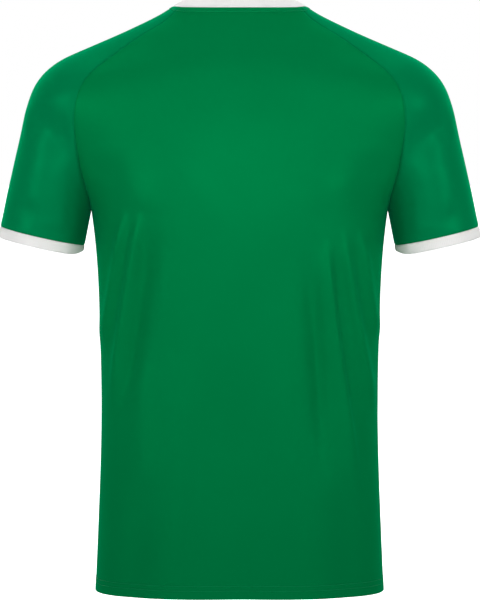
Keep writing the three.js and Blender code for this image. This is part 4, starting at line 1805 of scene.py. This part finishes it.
@dataclass(frozen=True)
class SoftLight:
    """A square area light: where it stands, what it points at, its side, its watts and the angle it shines over."""

    name: str
    place: tuple[float, float, float]
    target: tuple[float, float, float]
    size: float
    power: float
    spread: float = 180

    def build(self) -> None:
        """Adds the light, unseen by the camera."""
        data = bpy.data.lights.new(self.name, "AREA")
        data.energy, data.size, data.spread = self.power, self.size, math.radians(self.spread)
        light = bpy.data.objects.new(self.name, data)
        bpy.context.scene.collection.objects.link(light)
        light.location = self.place
        light.rotation_mode = "QUATERNION"
        light.rotation_quaternion = (Vector(self.target) - Vector(self.place)).to_track_quat("-Z", "Y")
        light.visible_camera = False


LIGHTS = [
    SoftLight("left_key", (0.893, 1.546, -0.93), (0, 0, -0.28), 1.0, 1.1),
    SoftLight("right_key", (-0.893, 1.546, -0.93), (0, 0, -0.28), 1.0, 1.1),
    SoftLight("left_arm", (1.45, 1.0, 0.15), (0.28, 0.03, -0.14), 0.8, 0.42, 25),
    SoftLight("right_arm", (-1.45, 1.0, 0.15), (-0.28, 0.03, -0.14), 0.8, 0.42, 25),
    SoftLight("left_blade", (0.35, 1.7, 0.05), (0.27, 0.1, -0.11), 0.6, 0.42, 55),
    SoftLight("right_blade", (-0.35, 1.7, 0.05), (-0.27, 0.1, -0.11), 0.6, 0.42, 55),
    SoftLight("low", (0.0, 1.3, -1.6), (0, 0, -0.4), 1.0, 1.2),
    SoftLight("top", (0.0, -0.8, 1.5), (0, 0, -0.1), 1.2, 14),
    SoftLight("front_left", (1.2, -1.7, 0.3), (0, 0, -0.3), 1.3, 8),
    SoftLight("front_right", (-1.2, -1.7, 0.3), (0, 0, -0.3), 1.3, 8),
]


@dataclass(frozen=True)
class Studio:
    """Plain pale floor and backdrop, soft lights and the photograph's camera. Distances are metres."""

    distance: float = 5.0
    elevation: float = 4.0
    middle_height: float = -0.3609
    sideways: float = -0.0005
    frame_height: float = 0.7424
    sensor: float = 36.0
    sight: float = 60.0
    ambient: float = 0.5
    room_radius: float = 14.0
    room_sides: int = 96
    room_levels: int = 12
    floor_height: float = -0.8

    def place_camera(self) -> None:
        """Sets up the camera behind the shirt, a little above its middle."""
        data = bpy.data.cameras.new("camera")
        data.sensor_width = self.sensor
        data.lens = self.sensor * self.distance / self.frame_height
        data.clip_end = self.sight
        camera = bpy.data.objects.new("camera", data)
        bpy.context.scene.collection.objects.link(camera)
        tilt = math.radians(self.elevation)
        back = Vector((0, math.cos(tilt), math.sin(tilt)))
        camera.location = Vector((self.sideways, 0, self.middle_height)) + back * self.distance
        camera.rotation_mode = "QUATERNION"
        camera.rotation_quaternion = (-back).to_track_quat("-Z", "Y")
        bpy.context.scene.camera = camera

    def build(self) -> None:
        """Builds the camera, lights, world and room, and sets how the picture shows its colours."""
        self.place_camera()
        for light in LIGHTS:
            light.build()
        world = bpy.data.worlds.new("studio")
        world.use_nodes = True
        world.node_tree.nodes.clear()
        nodes = Nodes(world.node_tree)
        glow = nodes.add("ShaderNodeBackground", None, {"Color": (1, 1, 1, 1), "Strength": self.ambient})
        nodes.add("ShaderNodeOutputWorld", None, {"Surface": glow.outputs[0]})
        bpy.context.scene.world = world
        view = bpy.context.scene.view_settings
        view.view_transform = "Standard"
        view.look = "None"
        self.build_room()

    def floor_material(self) -> bpy.types.Material:
        """Makes the floor's pale paper.

        Returns:
            The material.
        """
        plain, nodes = new_material("pale_paper")
        looks = {
            "Base Color": (0.9, 0.9, 0.9, 1),
            "Roughness": 0.9,
            "Emission Color": (1, 1, 1, 1),
            "Emission Strength": 1.0,
        }
        shader = nodes.add("ShaderNodeBsdfPrincipled", None, looks)
        nodes.add("ShaderNodeOutputMaterial", None, {"Surface": shader.outputs[0]})
        return plain

    def backdrop_material(self) -> bpy.types.Material:
        """Makes the backdrop's even white.

        Returns:
            The material.
        """
        white, nodes = new_material("white_glow")
        glow = nodes.add("ShaderNodeEmission", None, {"Color": (1, 1, 1, 1), "Strength": 1.0})
        nodes.add("ShaderNodeOutputMaterial", None, {"Surface": glow.outputs[0]})
        return white

    def floor_mesh(self, turns: np.ndarray) -> bpy.types.Mesh:
        """Makes the round floor.

        Args:
            turns: the angles of its corners.

        Returns:
            The mesh.
        """
        radius = self.room_radius
        floor = bpy.data.meshes.new("floor")
        ring = [(radius * math.cos(a), radius * math.sin(a), self.floor_height) for a in turns]
        floor.from_pydata(ring, [], [tuple(range(len(ring)))])
        return floor

    def backdrop_mesh(self, turns: np.ndarray) -> bpy.types.Mesh:
        """Makes the dome that stands on the floor's edge.

        Args:
            turns: the angles of its corners.

        Returns:
            The mesh.
        """
        radius, sides, levels = self.room_radius, self.room_sides, self.room_levels
        heights = np.linspace(0, math.pi / 2, levels + 1)[:-1]
        rings = [(radius * math.cos(b), radius * math.sin(b) + self.floor_height) for b in heights]
        points = [(r * math.cos(a), r * math.sin(a), z) for r, z in rings for a in turns]
        points.append((0, 0, radius + self.floor_height))
        pairs = [(i, (i + 1) % sides) for i in range(sides)]
        faces = [
            (k * sides + j, k * sides + i, (k + 1) * sides + i, (k + 1) * sides + j)
            for k in range(levels - 1)
            for i, j in pairs
        ]
        last = (levels - 1) * sides
        faces += [(last + j, last + i, len(points) - 1) for i, j in pairs]
        dome = bpy.data.meshes.new("backdrop")
        dome.from_pydata(points, [], faces)
        return dome

    def build_room(self) -> None:
        """Builds the floor and the far white backdrop, which light nothing."""
        turns = np.linspace(0, 2 * math.pi, self.room_sides, endpoint=False)
        for mesh, material in (
            (self.floor_mesh(turns), self.floor_material()),
            (self.backdrop_mesh(turns), self.backdrop_material()),
        ):
            mesh.materials.append(material)
            obj = bpy.data.objects.new(mesh.name, mesh)
            bpy.context.scene.collection.objects.link(obj)
            for kind in ("diffuse", "glossy", "transmission", "shadow"):
                setattr(obj, f"visible_{kind}", False)


def main() -> None:
    logging.basicConfig(level=logging.INFO, format="%(name)s: %(message)s")
    jersey = Jersey()
    jersey.form_pieces()
    jersey.form_bands()
    jersey.meet()
    jersey.dress()
    jersey.sew()
    jersey.declare()
    Studio().build()


if __name__ == "__main__":
    main()
